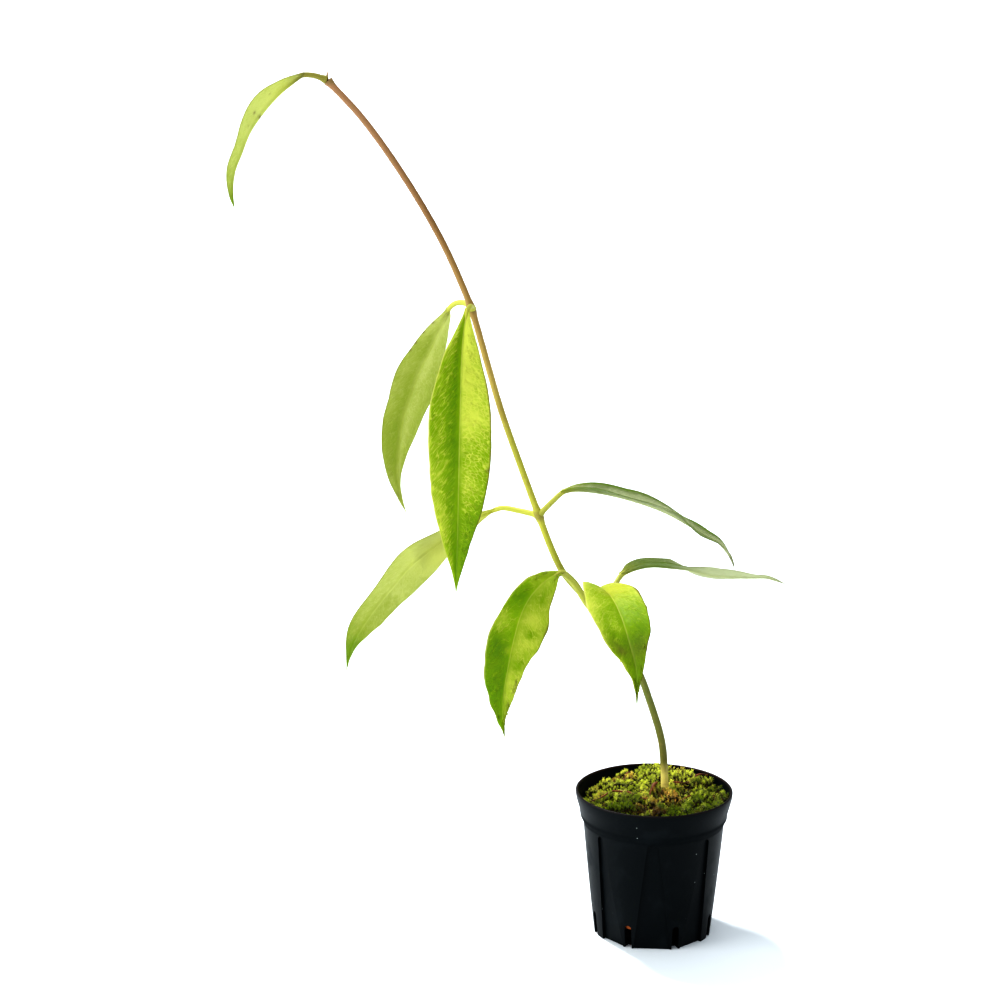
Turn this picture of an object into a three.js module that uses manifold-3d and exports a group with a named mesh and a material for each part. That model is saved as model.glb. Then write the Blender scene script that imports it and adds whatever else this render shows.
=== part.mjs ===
// A young hoya climber with lance-shaped leaves, growing in a small slotted nursery pot.
// Millimetres, +Z up. The origin is the centre of the pot's flat underside, and -Y is the front.

import * as THREE from 'three';
import { mergeVertices } from 'three/addons/utils/BufferGeometryUtils.js';
import Module from 'manifold-3d';

const wasm = await Module();
wasm.setup();

// Pot: a thin moulded cone with a wider band under the lip.
// The profile rows are outer radius and height.
const POT_HEIGHT = 70;
const LIP_RADIUS = 37.5;
const FOOT_RADIUS = 28.8;
const POT_PROFILE = [
  [FOOT_RADIUS, 0], [33.7, 54.6], [34.1, 55.8], [35.2, 57.8], [36, 63],
  [LIP_RADIUS, POT_HEIGHT],
];
const POT_WALL = 1.2;
const POT_SIDES = 48;
const LIP_ROUND = 0.5;
const LIP_DEPTH = 1.5;

// Eight flat panels let into the wall, and a drain slot at each corner between two of them. A
// panel is given by its half widths and by how far its foot and top are shifted sideways: each
// corner panel leans towards the front or back one. The ring is turned a little from the front.
const PANEL_COUNT = 8;
const PANEL_TURN = THREE.MathUtils.degToRad(-4.2);
const PANEL_FOOT_DISTANCE = 26.8;
const PANEL_TOP_DISTANCE = 32.2;
const PANEL_TOP_HEIGHT = 52;
const EVEN_PANEL = { foot: 8.6, top: 2.8, footShift: 0, topShift: 0 };
const CORNER_PANEL = { foot: 6.5, top: 1.8, footShift: 2.1, topShift: -1.7 };
const SLOT_WIDTH = 3.4;
const SLOT_HEIGHT = 11.5;
const SLOT_INNER_RADIUS = 25;
const CUTTER_DEPTH = 14;
const CUTTER_BELOW = 2;
const CUTTER_ARC_STEPS = 4;

// Fit between pieces that touch.
const GAP = 0.3;

// Growing medium and the moss on it.
const MEDIUM_TOP = 54.5;
const MOSS_LEVEL = 67;
const MOSS_CELLS = 18;
const MOSS_HOLLOW_DEPTH = 6;
const MOSS_MOUND_HEIGHT = 1.8;
const MOSS_MOUND_CENTRE = [6, 10];
const MOSS_MOUND_SPREAD = 26;
const MOSS_LUMP_HEIGHTS = [0.6, 0.4];
const TUFT_COUNT = 150;
const TUFT_HEIGHT = 2.4;
const TUFT_RADIUS = 1.5;
const TUFT_SUNK = 0.5;
const TUFT_LEAN = 0.25;
const TUFT_SEED = 41;
const TUFT_EDGE_MARGIN = 3.5;

// Stem: where its centre line runs, from its buried foot to the youngest node.
const STEM_ROUTE = [
  [5, 5, 43], [5.5, 5, 56], [5.5, 5, 69], [5, 5, 80], [3.5, 4.5, 93], [-2.5, 4, 113],
  [-8.5, 3.5, 128.5], [-16.5, 4, 140], [-26, 5, 154], [-33.5, 6, 163], [-39, 6.5, 169],
  [-44.5, 7, 176], [-50.5, 7.5, 189], [-55.5, 8, 202.5], [-63, 9, 223], [-73, 10, 251.5],
  [-79.5, 10, 274], [-86.5, 10, 298.5], [-90.5, 10.5, 309], [-100.5, 11, 331],
  [-116.5, 11, 358.5], [-135.5, 10.5, 385.5], [-151.5, 10, 403],
];
const STEM_FOOT_RADIUS = 2;
const STEM_MIDDLE_RADIUS = 1.5;
const STEM_SIDES = 9;
const STEM_ROWS = 56;
const STEM_SAMPLES = 400;
const NODE_SWELL = 0.7;
const NODE_REACH = 3;
const STEM_NODES = {
  first: [-16.5, 4, 140],
  second: [-26, 5, 154],
  third: [-55.5, 8, 202.5],
  fourth: [-86.5, 10, 299.5],
  fifth: [-151.5, 10, 403],
};

// The dry stub of a fallen leaf at the first node, and the bristle of the resting bud at the tip.
const STUB_ROUTE = [[-16.5, 4, 140], [-16.4, 1, 137.5], [-16, -0.5, 133.2]];
const STUB_RADII = [1.2, 0.7];
const BUD_ROUTE = [[-151.5, 10, 403], [-151.4, 10, 405.5], [-151, 10, 407]];
const BUD_RADII = [1.1, 0.3];

// Leaf blades and their stalks.
const BLADE_THICKNESS = 0.8;
const BLADE_ROWS = 24;
const BLADE_COLUMNS = 6;
const BLADE_STATIONS = [0, 0.08, 0.2, 0.35, 0.5, 0.65, 0.8, 0.92, 1];
const BLADE_BASE_HALF_WIDTH = 1.2;
const BLADE_TIP_HALF_WIDTH = 0.5;
const MIDRIB_DEPTH = 0.9;
const SIDE_VEIN_EVERY = 3;
const SIDE_VEIN_SLANT = 0.06;
const PUFF_HEIGHT = 0.35;
const MARGIN_WAVE = 0.5;
const MARGIN_WAVES = 2.5;
const PETIOLE_RADII = [1.15, 0.75];
const PETIOLE_SIDES = 7;
const PETIOLE_ROWS = 8;
const PETIOLE_REACH_UNDER_BLADE = 6;
const PETIOLE_DROP_UNDER_BLADE = 0.4;

// Each leaf has a stalk from its node, a midrib route for the blade, and half-widths at the seven
// inner stations. A pose row holds a station, the way the upper face looks there, and the angle
// by which each half is folded up from flat.
const LEAVES = [
  {
    name: 'leaf_youngest_left',
    node: 'fifth',
    stalk: [[-157, 8, 405], [-162, 6, 406]],
    midrib: [
      [-162, 6, 406], [-166, 2, 403], [-172, -3, 398], [-179, -8, 390], [-185, -12, 381],
      [-188.5, -15, 372], [-191.5, -17, 364], [-192.5, -18, 355], [-191.5, -18, 347.5],
    ],
    left: [4, 8, 10.5, 10, 8, 5.5, 2],
    right: [5, 9, 11.5, 10, 8, 6, 2.5],
    pose: [
      [0, 0, 0.1, 1, 22], [0.3, -0.6, 0.2, 0.8, 22], [0.55, -0.9, 0.05, 0.45, 22],
      [1, -1, -0.15, 0.1, 22],
    ],
  },
  {
    name: 'leaf_fourth_node_back',
    node: 'fourth',
    stalk: [[-89.5, 14, 301.5], [-94, 19, 301], [-97.5, 24, 298.5]],
    midrib: [
      [-97.5, 24, 298.5], [-100, 29, 291.5], [-104, 33, 283.5], [-108.5, 36, 274],
      [-113.5, 38.5, 263], [-117, 40.5, 252.5], [-120.5, 42, 242.5], [-122, 43, 232.5],
      [-123, 44, 222.5], [-123, 44, 212], [-121.5, 44, 202], [-119, 44, 194.5],
    ],
    left: [4.5, 10.5, 15, 15.5, 12.5, 4, 1.5],
    right: [5.5, 9.5, 11.5, 11, 10, 6, 2],
    pose: [
      [0, -0.5, 0.5, 0.7, 8], [0.3, -0.6, 0.8, 0.3, 8], [0.6, -0.65, 0.8, 0.1, 8],
      [0.8, -0.65, 0.7, 0.1, 16], [1, -1, 0.1, 0.1, 16],
    ],
  },
  {
    name: 'leaf_fourth_node_front',
    node: 'fourth',
    stalk: [[-87, 6, 301], [-87.5, 2, 301.5], [-88.5, -1, 301]],
    midrib: [
      [-88.5, -1, 301], [-90, -9, 292.5], [-91, -16, 280], [-91.5, -21, 262.5],
      [-92, -24, 242.5], [-92.5, -24, 221.5], [-93, -22, 202.5], [-93.5, -20, 188],
      [-94, -16, 170.5],
    ],
    left: [3.2, 9, 14, 14, 12, 7, 2],
    right: [4, 9.5, 14.2, 15, 12.5, 6.5, 2.2],
    pose: [[0, 0, -0.8, 0.6, 14], [0.4, -0.05, -1, 0.15, 14], [1, 0, -1, 0, 14]],
  },
  {
    name: 'leaf_third_node_left',
    node: 'third',
    stalk: [[-64.5, 13, 203.5], [-72.5, 17, 204], [-75, 18.5, 203.5]],
    midrib: [
      [-75, 18.5, 203.5], [-82, 20.5, 200], [-90.5, 22.5, 194.5], [-102, 24.5, 186],
      [-117, 26, 173.5], [-126.5, 27, 162], [-135.5, 27.5, 150.5], [-141.5, 27.5, 141.5],
      [-145.5, 27, 133.5], [-148.5, 26, 120.5],
    ],
    left: [4.2, 8.8, 13, 15.5, 12.5, 8.5, 3],
    right: [5.8, 11.2, 15, 14, 12, 10, 3],
    pose: [
      [0, -0.2, 0.6, 0.85, -8], [0.2, -0.5, 0.65, 0.6, -8], [0.4, -0.58, 0.7, 0.42, -8],
      [0.75, -0.65, 0.7, 0.3, -8], [1, -0.9, 0.4, 0.1, 0],
    ],
  },
  {
    name: 'leaf_third_node_right',
    node: 'third',
    stalk: [[-49.5, 5, 209.5], [-45, 3, 215]],
    midrib: [
      [-45, 3, 215], [-39, 1, 216.5], [-27.5, -4, 216.5], [-13, -9, 214], [1.5, -13, 209.5],
      [12.5, -16, 204], [20, -18, 199.5], [26.5, -19, 196], [31.5, -20, 190], [34.5, -20, 182.5],
    ],
    left: [4, 8.5, 11.5, 12, 10, 4.8, 0.6],
    right: [4, 8.5, 11.5, 12, 10, 4.8, 0.6],
    pose: [
      [0, -0.4, 0.05, 1, 28], [0.3, 0, 0.11, 1, 12], [0.62, 0.25, 0.16, 1, 8],
      [0.74, 0.35, -0.08, 1, 3], [0.86, 0.6, -0.15, 0.8, 6], [1, 1, -0.2, 0.2, 8],
    ],
  },
  {
    name: 'leaf_second_node_front',
    node: 'second',
    stalk: [[-32.5, -2, 162], [-39.5, -7, 174], [-44.5, -13, 180.5]],
    midrib: [
      [-44.5, -13, 180.5], [-51, -22, 180], [-56.5, -29, 177], [-61, -34, 172.5],
      [-64.5, -38, 166], [-67.5, -41.5, 156], [-70, -43.5, 144], [-72, -44, 132],
      [-72.5, -43.5, 121], [-71.5, -42, 110],
    ],
    left: [2.8, 6, 10.5, 14, 12, 7, 2],
    right: [3, 8, 13, 12.5, 7.5, 4, 1],
    pose: [
      [0, 0, -0.35, 0.9, 14], [0.22, 0.55, -0.55, 0.55, 14], [0.4, 0.45, -0.75, 0.35, 14],
      [0.6, 0.25, -0.9, 0.2, 14], [1, 0.1, -1, 0.1, 14],
    ],
  },
  {
    name: 'leaf_first_node_front',
    node: 'first',
    stalk: [[-20, -4, 151], [-24, -10, 164], [-26.5, -16, 171.5]],
    midrib: [
      [-26.5, -16, 171.5], [-28, -24, 176], [-27.5, -34, 178.5], [-25.5, -44, 179],
      [-23, -54, 177.5], [-21, -62, 174.5], [-19, -70, 170], [-17, -76, 163.5],
      [-15, -80, 156.5], [-14, -82, 148], [-14, -82, 138],
    ],
    left: [5, 8.5, 12.5, 14.5, 11.5, 5.5, 1.1],
    right: [4, 7, 10.5, 12, 11, 4.3, 0.8],
    pose: [
      [0, 0, 0.3, 1, 20], [0.25, 0, -0.1, 1, 16], [0.5, 0.05, -0.5, 0.8, 12],
      [0.75, 0, -0.9, 0.4, 12], [1, 0, -1, 0.1, 12],
    ],
  },
  {
    name: 'leaf_second_node_back',
    node: 'second',
    stalk: [[-21.5, 12, 160.5], [-19, 17, 166], [-16, 23, 170]],
    midrib: [
      [-16, 23, 170], [-9, 28, 171.7], [-0.5, 33, 172], [9.5, 37, 170.3], [19, 41, 168],
      [29, 44.5, 164.5], [39, 47, 163], [50, 50, 161.7], [58, 52, 161], [68, 54.5, 157],
    ],
    left: [4.5, 7.5, 10, 12, 11.5, 6.5, 1.5],
    right: [4.5, 7.5, 10, 12, 11.5, 6.5, 1.5],
    pose: [
      [0, -0.5, -0.1, 1, 35], [0.2, 0, 0.05, 1, 19], [0.36, 0.05, 0.09, 1, 12],
      [0.5, 0.1, 0.42, 1, 5], [0.65, 0.1, 0.47, 1, 2], [1, 0.4, 0.5, 0.7, 0],
    ],
  },
];

const material = {
  pot: new THREE.MeshStandardMaterial({ color: 0x14171a, roughness: 0.55, metalness: 0 }),
  medium: new THREE.MeshStandardMaterial({ color: 0x3b2a1c, roughness: 1, metalness: 0 }),
  moss: new THREE.MeshStandardMaterial({ color: 0x8fa32b, roughness: 0.95, metalness: 0 }),
  stem: new THREE.MeshStandardMaterial({ color: 0x8a7f3c, roughness: 0.6, metalness: 0 }),
  leaf: new THREE.MeshStandardMaterial({ color: 0x8db31f, roughness: 0.45, metalness: 0 }),
};

const plant = new THREE.Group();
plant.name = 'potted_hoya';

function toVector(point) {
  return new THREE.Vector3(...point);
}

function routeThrough(points) {
  return new THREE.CatmullRomCurve3(points.map(toVector), false, 'centripetal');
}

// A repeatable stream of numbers from 0 to 1, by the minimal standard generator.
function seededRandom(seed) {
  const modulus = 2147483647;
  const multiplier = 16807;
  let state = seed;
  return () => {
    state = (state * multiplier) % modulus;
    return state / modulus;
  };
}

function toSolid(geometry) {
  const bare = geometry.index ? geometry.clone() : geometry;
  bare.deleteAttribute('normal');
  bare.deleteAttribute('uv');
  const welded = mergeVertices(bare, 1e-4);
  return new wasm.Manifold(new wasm.Mesh({
    numProp: 3,
    vertProperties: new Float32Array(welded.attributes.position.array),
    triVerts: new Uint32Array(welded.index.array),
  }));
}

function toGeometry(solid) {
  const mesh = solid.getMesh();
  const geometry = new THREE.BufferGeometry();
  geometry.setAttribute('position', new THREE.BufferAttribute(mesh.vertProperties, 3));
  geometry.setIndex(new THREE.BufferAttribute(mesh.triVerts, 1));
  geometry.computeVertexNormals();
  return geometry;
}

function addPiece(name, solid, pieceMaterial) {
  const mesh = new THREE.Mesh(toGeometry(solid), pieceMaterial);
  mesh.name = name;
  plant.add(mesh);
}

// A round section at each place along a curve, from 0 to 1.
function narrowing([from, to], margin = 0) {
  return (along) => from + (to - from) * along + margin;
}

// A closed tube bent along a curve. The radius is given along it, from 0 to 1.
function taperedTube(curve, radiusAt, sides, rows) {
  const tube = new THREE.CylinderGeometry(1, 1, 1, sides, rows);
  const frames = curve.computeFrenetFrames(rows);
  const position = tube.attributes.position;
  for (let i = 0; i < position.count; i++) {
    const along = position.getY(i) + 0.5;
    const row = Math.round(along * rows);
    const radius = radiusAt(along);
    const across = new THREE.Vector3().crossVectors(frames.normals[row], frames.tangents[row]);
    const point = curve.getPointAt(along)
      .addScaledVector(frames.normals[row], position.getX(i) * radius)
      .addScaledVector(across, position.getZ(i) * radius);
    position.setXYZ(i, point.x, point.y, point.z);
  }
  return toSolid(tube);
}

// A thin closed sheet from one grid laid twice, so both faces are split alike.
function thinSheet(columns, rows, pointAt) {
  const grid = new THREE.PlaneGeometry(1, 1, columns, rows);
  const count = grid.attributes.position.count;
  const corners = [];
  for (const face of [1, -1]) {
    for (let i = 0; i < count; i++) {
      const u = grid.attributes.position.getX(i) + 0.5;
      const v = grid.attributes.position.getY(i) + 0.5;
      corners.push(...pointAt(u, v, face).toArray());
    }
  }
  const upper = Array.from(grid.index.array);
  const lower = upper.map((corner) => corner + count).reverse();
  const rim = [];
  for (let c = 0; c < columns; c++) rim.push(c);
  for (let r = 0; r < rows; r++) rim.push(r * (columns + 1) + columns);
  for (let c = columns; c > 0; c--) rim.push(rows * (columns + 1) + c);
  for (let r = rows; r > 0; r--) rim.push(r * (columns + 1));
  const sides = rim.flatMap((corner, i) => {
    const next = rim[(i + 1) % rim.length];
    return [corner, next, corner + count, next, next + count, corner + count];
  });
  const sheet = new THREE.BufferGeometry();
  sheet.setAttribute('position', new THREE.Float32BufferAttribute(corners, 3));
  sheet.setIndex([...upper, ...lower, ...sides]);
  return toSolid(sheet);
}

function lathe(profile) {
  const points = profile.map(([radius, height]) => new THREE.Vector2(radius, height));
  const turned = new THREE.LatheGeometry(points, POT_SIDES);
  turned.rotateX(Math.PI / 2);
  return toSolid(turned);
}

function potRadius(height) {
  const above = POT_PROFILE.findIndex((row) => row[1] >= height);
  const row = above < 0 ? POT_PROFILE.length - 1 : Math.max(above, 1);
  const [[lowRadius, low], [highRadius, high]] = [POT_PROFILE[row - 1], POT_PROFILE[row]];
  return lowRadius + ((highRadius - lowRadius) * (height - low)) / (high - low);
}

// The pot's round form without its panels, shrunk by an inset and cut off at two heights.
function potForm(inset, floor, top) {
  const bends = POT_PROFILE.filter(([, height]) => height > floor && height < top);
  const turns = [[potRadius(floor), floor], ...bends, [potRadius(top), top]];
  const wall = turns.map(([radius, height]) => [radius - inset, height]);
  return lathe([[0, floor], ...wall, [0, top]]);
}

// A block with a round-topped outline, facing the pot's axis from a distance at the foot.
function archCutter({ foot, top, footShift, topShift, archHeight, distance, lean, angle }) {
  const outline = new THREE.Shape();
  outline.moveTo(footShift - foot, -CUTTER_BELOW);
  outline.lineTo(footShift + foot, -CUTTER_BELOW);
  outline.lineTo(topShift + top, archHeight);
  outline.absarc(topShift, archHeight, top, 0, Math.PI, false);
  outline.closePath();
  const block = new THREE.ExtrudeGeometry(outline, {
    depth: CUTTER_DEPTH,
    bevelEnabled: false,
    curveSegments: CUTTER_ARC_STEPS,
  });
  block.rotateX(Math.PI / 2);
  block.rotateZ(Math.PI);
  block.rotateX(-lean);
  block.translate(0, distance, 0);
  block.rotateZ(angle - Math.PI / 2);
  return toSolid(block);
}

// The block outside one flat panel: narrow and round at its top, wide at the foot.
function panelCutter(angle, inset, panel, mirrored) {
  const lean = Math.atan2(PANEL_TOP_DISTANCE - PANEL_FOOT_DISTANCE, PANEL_TOP_HEIGHT);
  const side = mirrored ? -1 : 1;
  return archCutter({
    foot: panel.foot + inset,
    top: panel.top + inset,
    footShift: side * panel.footShift,
    topShift: side * panel.topShift,
    archHeight: PANEL_TOP_HEIGHT,
    distance: PANEL_FOOT_DISTANCE - inset,
    lean,
    angle,
  });
}

function slotCutter(angle) {
  const half = SLOT_WIDTH / 2;
  return archCutter({
    foot: half,
    top: half,
    footShift: 0,
    topShift: 0,
    archHeight: SLOT_HEIGHT - half,
    distance: SLOT_INNER_RADIUS,
    lean: 0,
    angle,
  });
}

function aroundPot(makeOne, firstAngle) {
  const step = (2 * Math.PI) / PANEL_COUNT;
  return Array.from({ length: PANEL_COUNT }, (_, i) => makeOne(firstAngle + i * step, i));
}

function cutAll(solid, cutters) {
  return cutters.reduce((rest, cutter) => rest.subtract(cutter), solid);
}

// The space inside the pot, cut off at two heights, kept an inset away from the outer face.
function potInside(inset, floor, top) {
  const round = potForm(inset, floor, top);
  const panels = aroundPot((angle, i) => {
    const panel = i % 2 === 0 ? EVEN_PANEL : CORNER_PANEL;
    return panelCutter(angle, inset, panel, i % 4 === 3);
  }, PANEL_TURN);
  return cutAll(round, panels);
}

function makePot() {
  const shoulder = POT_HEIGHT - LIP_ROUND;
  const body = potInside(0, 0, shoulder);
  const lip = lathe([
    [0, POT_HEIGHT - LIP_DEPTH],
    [potRadius(POT_HEIGHT - LIP_DEPTH), POT_HEIGHT - LIP_DEPTH],
    [LIP_RADIUS, shoulder],
    [LIP_RADIUS - LIP_ROUND, POT_HEIGHT],
    [0, POT_HEIGHT],
  ]);
  const inside = potInside(POT_WALL, POT_WALL, POT_HEIGHT + CUTTER_BELOW);
  const slots = aroundPot(slotCutter, PANEL_TURN + Math.PI / PANEL_COUNT);
  return cutAll(body.add(lip).subtract(inside), slots);
}

function makeMedium(stemRoom) {
  return potInside(POT_WALL + GAP, POT_WALL + GAP, MEDIUM_TOP).subtract(stemRoom);
}

// Moss level at a place: hollow along the left and back-left wall, mounded in the middle.
function mossLevel(x, y) {
  const towardsHollow = Math.max(0, (-x * 0.85 + y * 0.35) / LIP_RADIUS - 0.35);
  const fromMound = Math.hypot(x - MOSS_MOUND_CENTRE[0], y - MOSS_MOUND_CENTRE[1]);
  const mound = MOSS_MOUND_HEIGHT * Math.exp(-((fromMound / MOSS_MOUND_SPREAD) ** 2));
  const broadLumps = MOSS_LUMP_HEIGHTS[0] * Math.sin(x * 0.45 + 1.3) * Math.cos(y * 0.38);
  const smallLumps = MOSS_LUMP_HEIGHTS[1] * Math.sin(x * 0.9 + y);
  return MOSS_LEVEL + mound + broadLumps + smallLumps - MOSS_HOLLOW_DEPTH * towardsHollow;
}

function makeMoss(stemRoom) {
  const size = 2 * LIP_RADIUS + CUTTER_BELOW;
  const bottom = MEDIUM_TOP + GAP;
  const goldenAngle = Math.PI * (3 - Math.sqrt(5));
  const slab = thinSheet(MOSS_CELLS, MOSS_CELLS, (u, v, face) => {
    const x = (u - 0.5) * size;
    const y = (v - 0.5) * size;
    return new THREE.Vector3(x, y, face > 0 ? mossLevel(x, y) : bottom);
  });
  const random = seededRandom(TUFT_SEED);
  const tufts = [];
  for (let i = 0; i < TUFT_COUNT; i++) {
    const radius = (LIP_RADIUS - TUFT_EDGE_MARGIN) * Math.sqrt((i + 0.5) / TUFT_COUNT);
    const x = radius * Math.cos(i * goldenAngle) + random() - 0.5;
    const y = radius * Math.sin(i * goldenAngle) + random() - 0.5;
    const tuft = new THREE.OctahedronGeometry(1);
    tuft.rotateZ(random() * Math.PI);
    tuft.scale(TUFT_RADIUS, TUFT_RADIUS, TUFT_HEIGHT * (0.7 + 0.6 * random()));
    tuft.rotateX(TUFT_LEAN * (2 * random() - 1));
    tuft.translate(x, y, mossLevel(x, y) - TUFT_SUNK);
    tufts.push(toSolid(tuft));
  }
  const carpet = tufts.reduce((whole, tuft) => whole.add(tuft), slab);
  const room = potInside(POT_WALL + GAP, bottom, POT_HEIGHT + TUFT_HEIGHT + CUTTER_BELOW);
  return carpet.intersect(room).subtract(stemRoom);
}

const stemCurve = routeThrough(STEM_ROUTE);
const stemSamples = stemCurve.getSpacedPoints(STEM_SAMPLES);

function stemPositionOf(node) {
  const target = toVector(node);
  const distances = stemSamples.map((sample) => sample.distanceTo(target));
  return distances.indexOf(Math.min(...distances)) / STEM_SAMPLES;
}

const nodePositions = Object.values(STEM_NODES).map(stemPositionOf);
const stemLength = stemCurve.getLength();

function stemRadius(along) {
  const taper = STEM_MIDDLE_RADIUS + (STEM_FOOT_RADIUS - STEM_MIDDLE_RADIUS) * (1 - along) ** 4;
  const swelling = nodePositions.reduce((sum, node) => {
    const reach = ((along - node) * stemLength) / NODE_REACH;
    return sum + NODE_SWELL * Math.exp(-reach * reach);
  }, 0);
  return taper + swelling;
}

// A route with both ends moved outwards.
function lengthened(points, by) {
  const ends = [[points[0], points[1]], [points.at(-1), points.at(-2)]];
  const [first, last] = ends.map(([end, inner]) => {
    const outward = toVector(end).sub(toVector(inner)).setLength(by);
    return toVector(end).add(outward).toArray();
  });
  return [first, ...points.slice(1, -1), last];
}

// The shoot with the dry stub of the lowest leaf's fallen partner and the bristle of the resting
// tip bud. With a margin it is the room that other pieces leave round it.
function makeShoot(margin) {
  const grown = (points) => routeThrough(margin > 0 ? lengthened(points, margin) : points);
  const shoot = taperedTube(
    grown(STEM_ROUTE), (along) => stemRadius(along) + margin, STEM_SIDES, STEM_ROWS,
  );
  const stub = taperedTube(
    grown(STUB_ROUTE), narrowing(STUB_RADII, margin), PETIOLE_SIDES, PETIOLE_ROWS,
  );
  const bud = taperedTube(
    grown(BUD_ROUTE), narrowing(BUD_RADII, margin), PETIOLE_SIDES, PETIOLE_ROWS,
  );
  return shoot.add(stub).add(bud);
}

// A value between table rows, eased so that the outline stays smooth.
function between(stations, values, at) {
  const last = stations.length - 1;
  let row = 0;
  while (row < last - 1 && at > stations[row + 1]) row += 1;
  const slope = (i) => {
    if (i === 0 || i === last) return 0;
    return (values[i + 1] - values[i - 1]) / (stations[i + 1] - stations[i - 1]);
  };
  const span = stations[row + 1] - stations[row];
  const t = (at - stations[row]) / span;
  const blendOut = 2 * t ** 3 - 3 * t ** 2 + 1;
  const blendIn = 3 * t ** 2 - 2 * t ** 3;
  const easeOut = (t ** 3 - 2 * t ** 2 + t) * span;
  const easeIn = (t ** 3 - t ** 2) * span;
  return blendOut * values[row] + easeOut * slope(row)
    + blendIn * values[row + 1] + easeIn * slope(row + 1);
}

function poseAt(pose, along) {
  let row = 0;
  while (row < pose.length - 2 && along > pose[row + 1][0]) row += 1;
  const [from, to] = [pose[row], pose[row + 1]];
  const t = (along - from[0]) / (to[0] - from[0]);
  const [, x, y, z, fold] = from.map((value, i) => value + (to[i] - value) * t);
  return { facing: new THREE.Vector3(x, y, z), fold: THREE.MathUtils.degToRad(fold) };
}

// The raised fields between the side veins, highest halfway out from the midrib.
function puff(row, out) {
  const field = row % SIDE_VEIN_EVERY === 0 ? 0 : 1;
  return PUFF_HEIGHT * field * 4 * out * (1 - out);
}

function makeBlade(leaf) {
  const midrib = routeThrough(leaf.midrib);
  const widths = {
    left: [BLADE_BASE_HALF_WIDTH, ...leaf.left, BLADE_TIP_HALF_WIDTH],
    right: [BLADE_BASE_HALF_WIDTH, ...leaf.right, BLADE_TIP_HALF_WIDTH],
  };
  return thinSheet(BLADE_COLUMNS, BLADE_ROWS, (u, v, face) => {
    const side = 1 - 2 * u;
    const out = Math.abs(side);
    const along = v + SIDE_VEIN_SLANT * out * Math.sin(Math.PI * v);
    const centre = midrib.getPointAt(along);
    const tangent = midrib.getTangentAt(along);
    const { facing, fold } = poseAt(leaf.pose, along);
    const normal = facing.addScaledVector(tangent, -facing.dot(tangent)).normalize();
    const across = new THREE.Vector3().crossVectors(normal, tangent);
    const halfWidth = between(BLADE_STATIONS, side < 0 ? widths.left : widths.right, along);
    const reach = out * halfWidth;
    const wave = MARGIN_WAVE * out * out * Math.sin(Math.PI * v)
      * Math.sin(2 * Math.PI * (MARGIN_WAVES * along + 0.25 * side));
    const ridge = face < 0 && out === 0 ? MIDRIB_DEPTH * (1 - along) : 0;
    const lift = reach * Math.sin(fold) + wave + puff(Math.round(v * BLADE_ROWS), out)
      + (face * BLADE_THICKNESS) / 2 - ridge;
    const spread = Math.sign(side) * reach * Math.cos(fold);
    return centre.addScaledVector(across, spread).addScaledVector(normal, lift);
  });
}

function makeStalk(leaf) {
  const midrib = routeThrough(leaf.midrib);
  const { facing } = poseAt(leaf.pose, 0);
  const under = midrib.getPointAt(PETIOLE_REACH_UNDER_BLADE / midrib.getLength())
    .addScaledVector(facing.normalize(), -PETIOLE_DROP_UNDER_BLADE);
  const curve = routeThrough([STEM_NODES[leaf.node], ...leaf.stalk, under.toArray()]);
  return taperedTube(curve, narrowing(PETIOLE_RADII), PETIOLE_SIDES, PETIOLE_ROWS);
}

const stemRoom = makeShoot(GAP);
addPiece('pot', makePot(), material.pot);
addPiece('growing_medium', makeMedium(stemRoom), material.medium);
addPiece('moss_carpet', makeMoss(stemRoom), material.moss);
addPiece('stem', makeShoot(0), material.stem);
for (const leaf of LEAVES) {
  const solid = makeBlade(leaf).add(makeStalk(leaf)).subtract(stemRoom);
  addPiece(leaf.name, solid, material.leaf);
}

export default plant;
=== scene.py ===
# %% [markdown]
# A young hoya climber in a slotted nursery pot.
# The packed model is the fixed frame: the pot, the medium in it, the moss, the stem and eight
# leaves. This script dresses that frame. Each cell makes one piece or one finish, says what it is
# on the real plant, how it could be made, and why it is made this way.

# %% Frame
import bisect
import math
import random

import bmesh
import bpy
from mathutils import Matrix, Vector, geometry, noise


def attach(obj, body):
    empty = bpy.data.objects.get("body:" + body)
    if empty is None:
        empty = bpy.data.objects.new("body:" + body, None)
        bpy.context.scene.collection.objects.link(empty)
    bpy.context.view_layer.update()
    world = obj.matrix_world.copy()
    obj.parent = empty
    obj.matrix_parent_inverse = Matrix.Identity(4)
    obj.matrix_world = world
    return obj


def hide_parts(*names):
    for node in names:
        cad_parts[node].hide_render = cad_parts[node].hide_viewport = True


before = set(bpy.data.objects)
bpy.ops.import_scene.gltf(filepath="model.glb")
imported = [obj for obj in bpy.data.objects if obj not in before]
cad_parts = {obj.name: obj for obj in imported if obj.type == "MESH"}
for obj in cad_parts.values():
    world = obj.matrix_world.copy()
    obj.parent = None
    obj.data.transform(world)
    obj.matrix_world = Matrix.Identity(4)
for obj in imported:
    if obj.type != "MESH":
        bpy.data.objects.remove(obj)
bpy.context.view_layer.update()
MM = 0.001
print("nodes:", sorted(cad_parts))

# %% [markdown]
# The camera comes first, because every likeness is judged through it. It stands about a metre in
# front of the pot, a little above the moss, and looks slightly down, so the rim shows as a
# narrow ellipse. A long lens keeps the pot's sides from leaning.

# %% Camera
CAMERA_PLACE = Vector((-73.7, -997.7, 432.8)) * MM
CAMERA_TILT_DEGREES = 77.5
CAMERA_LENS = 79.2

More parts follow.
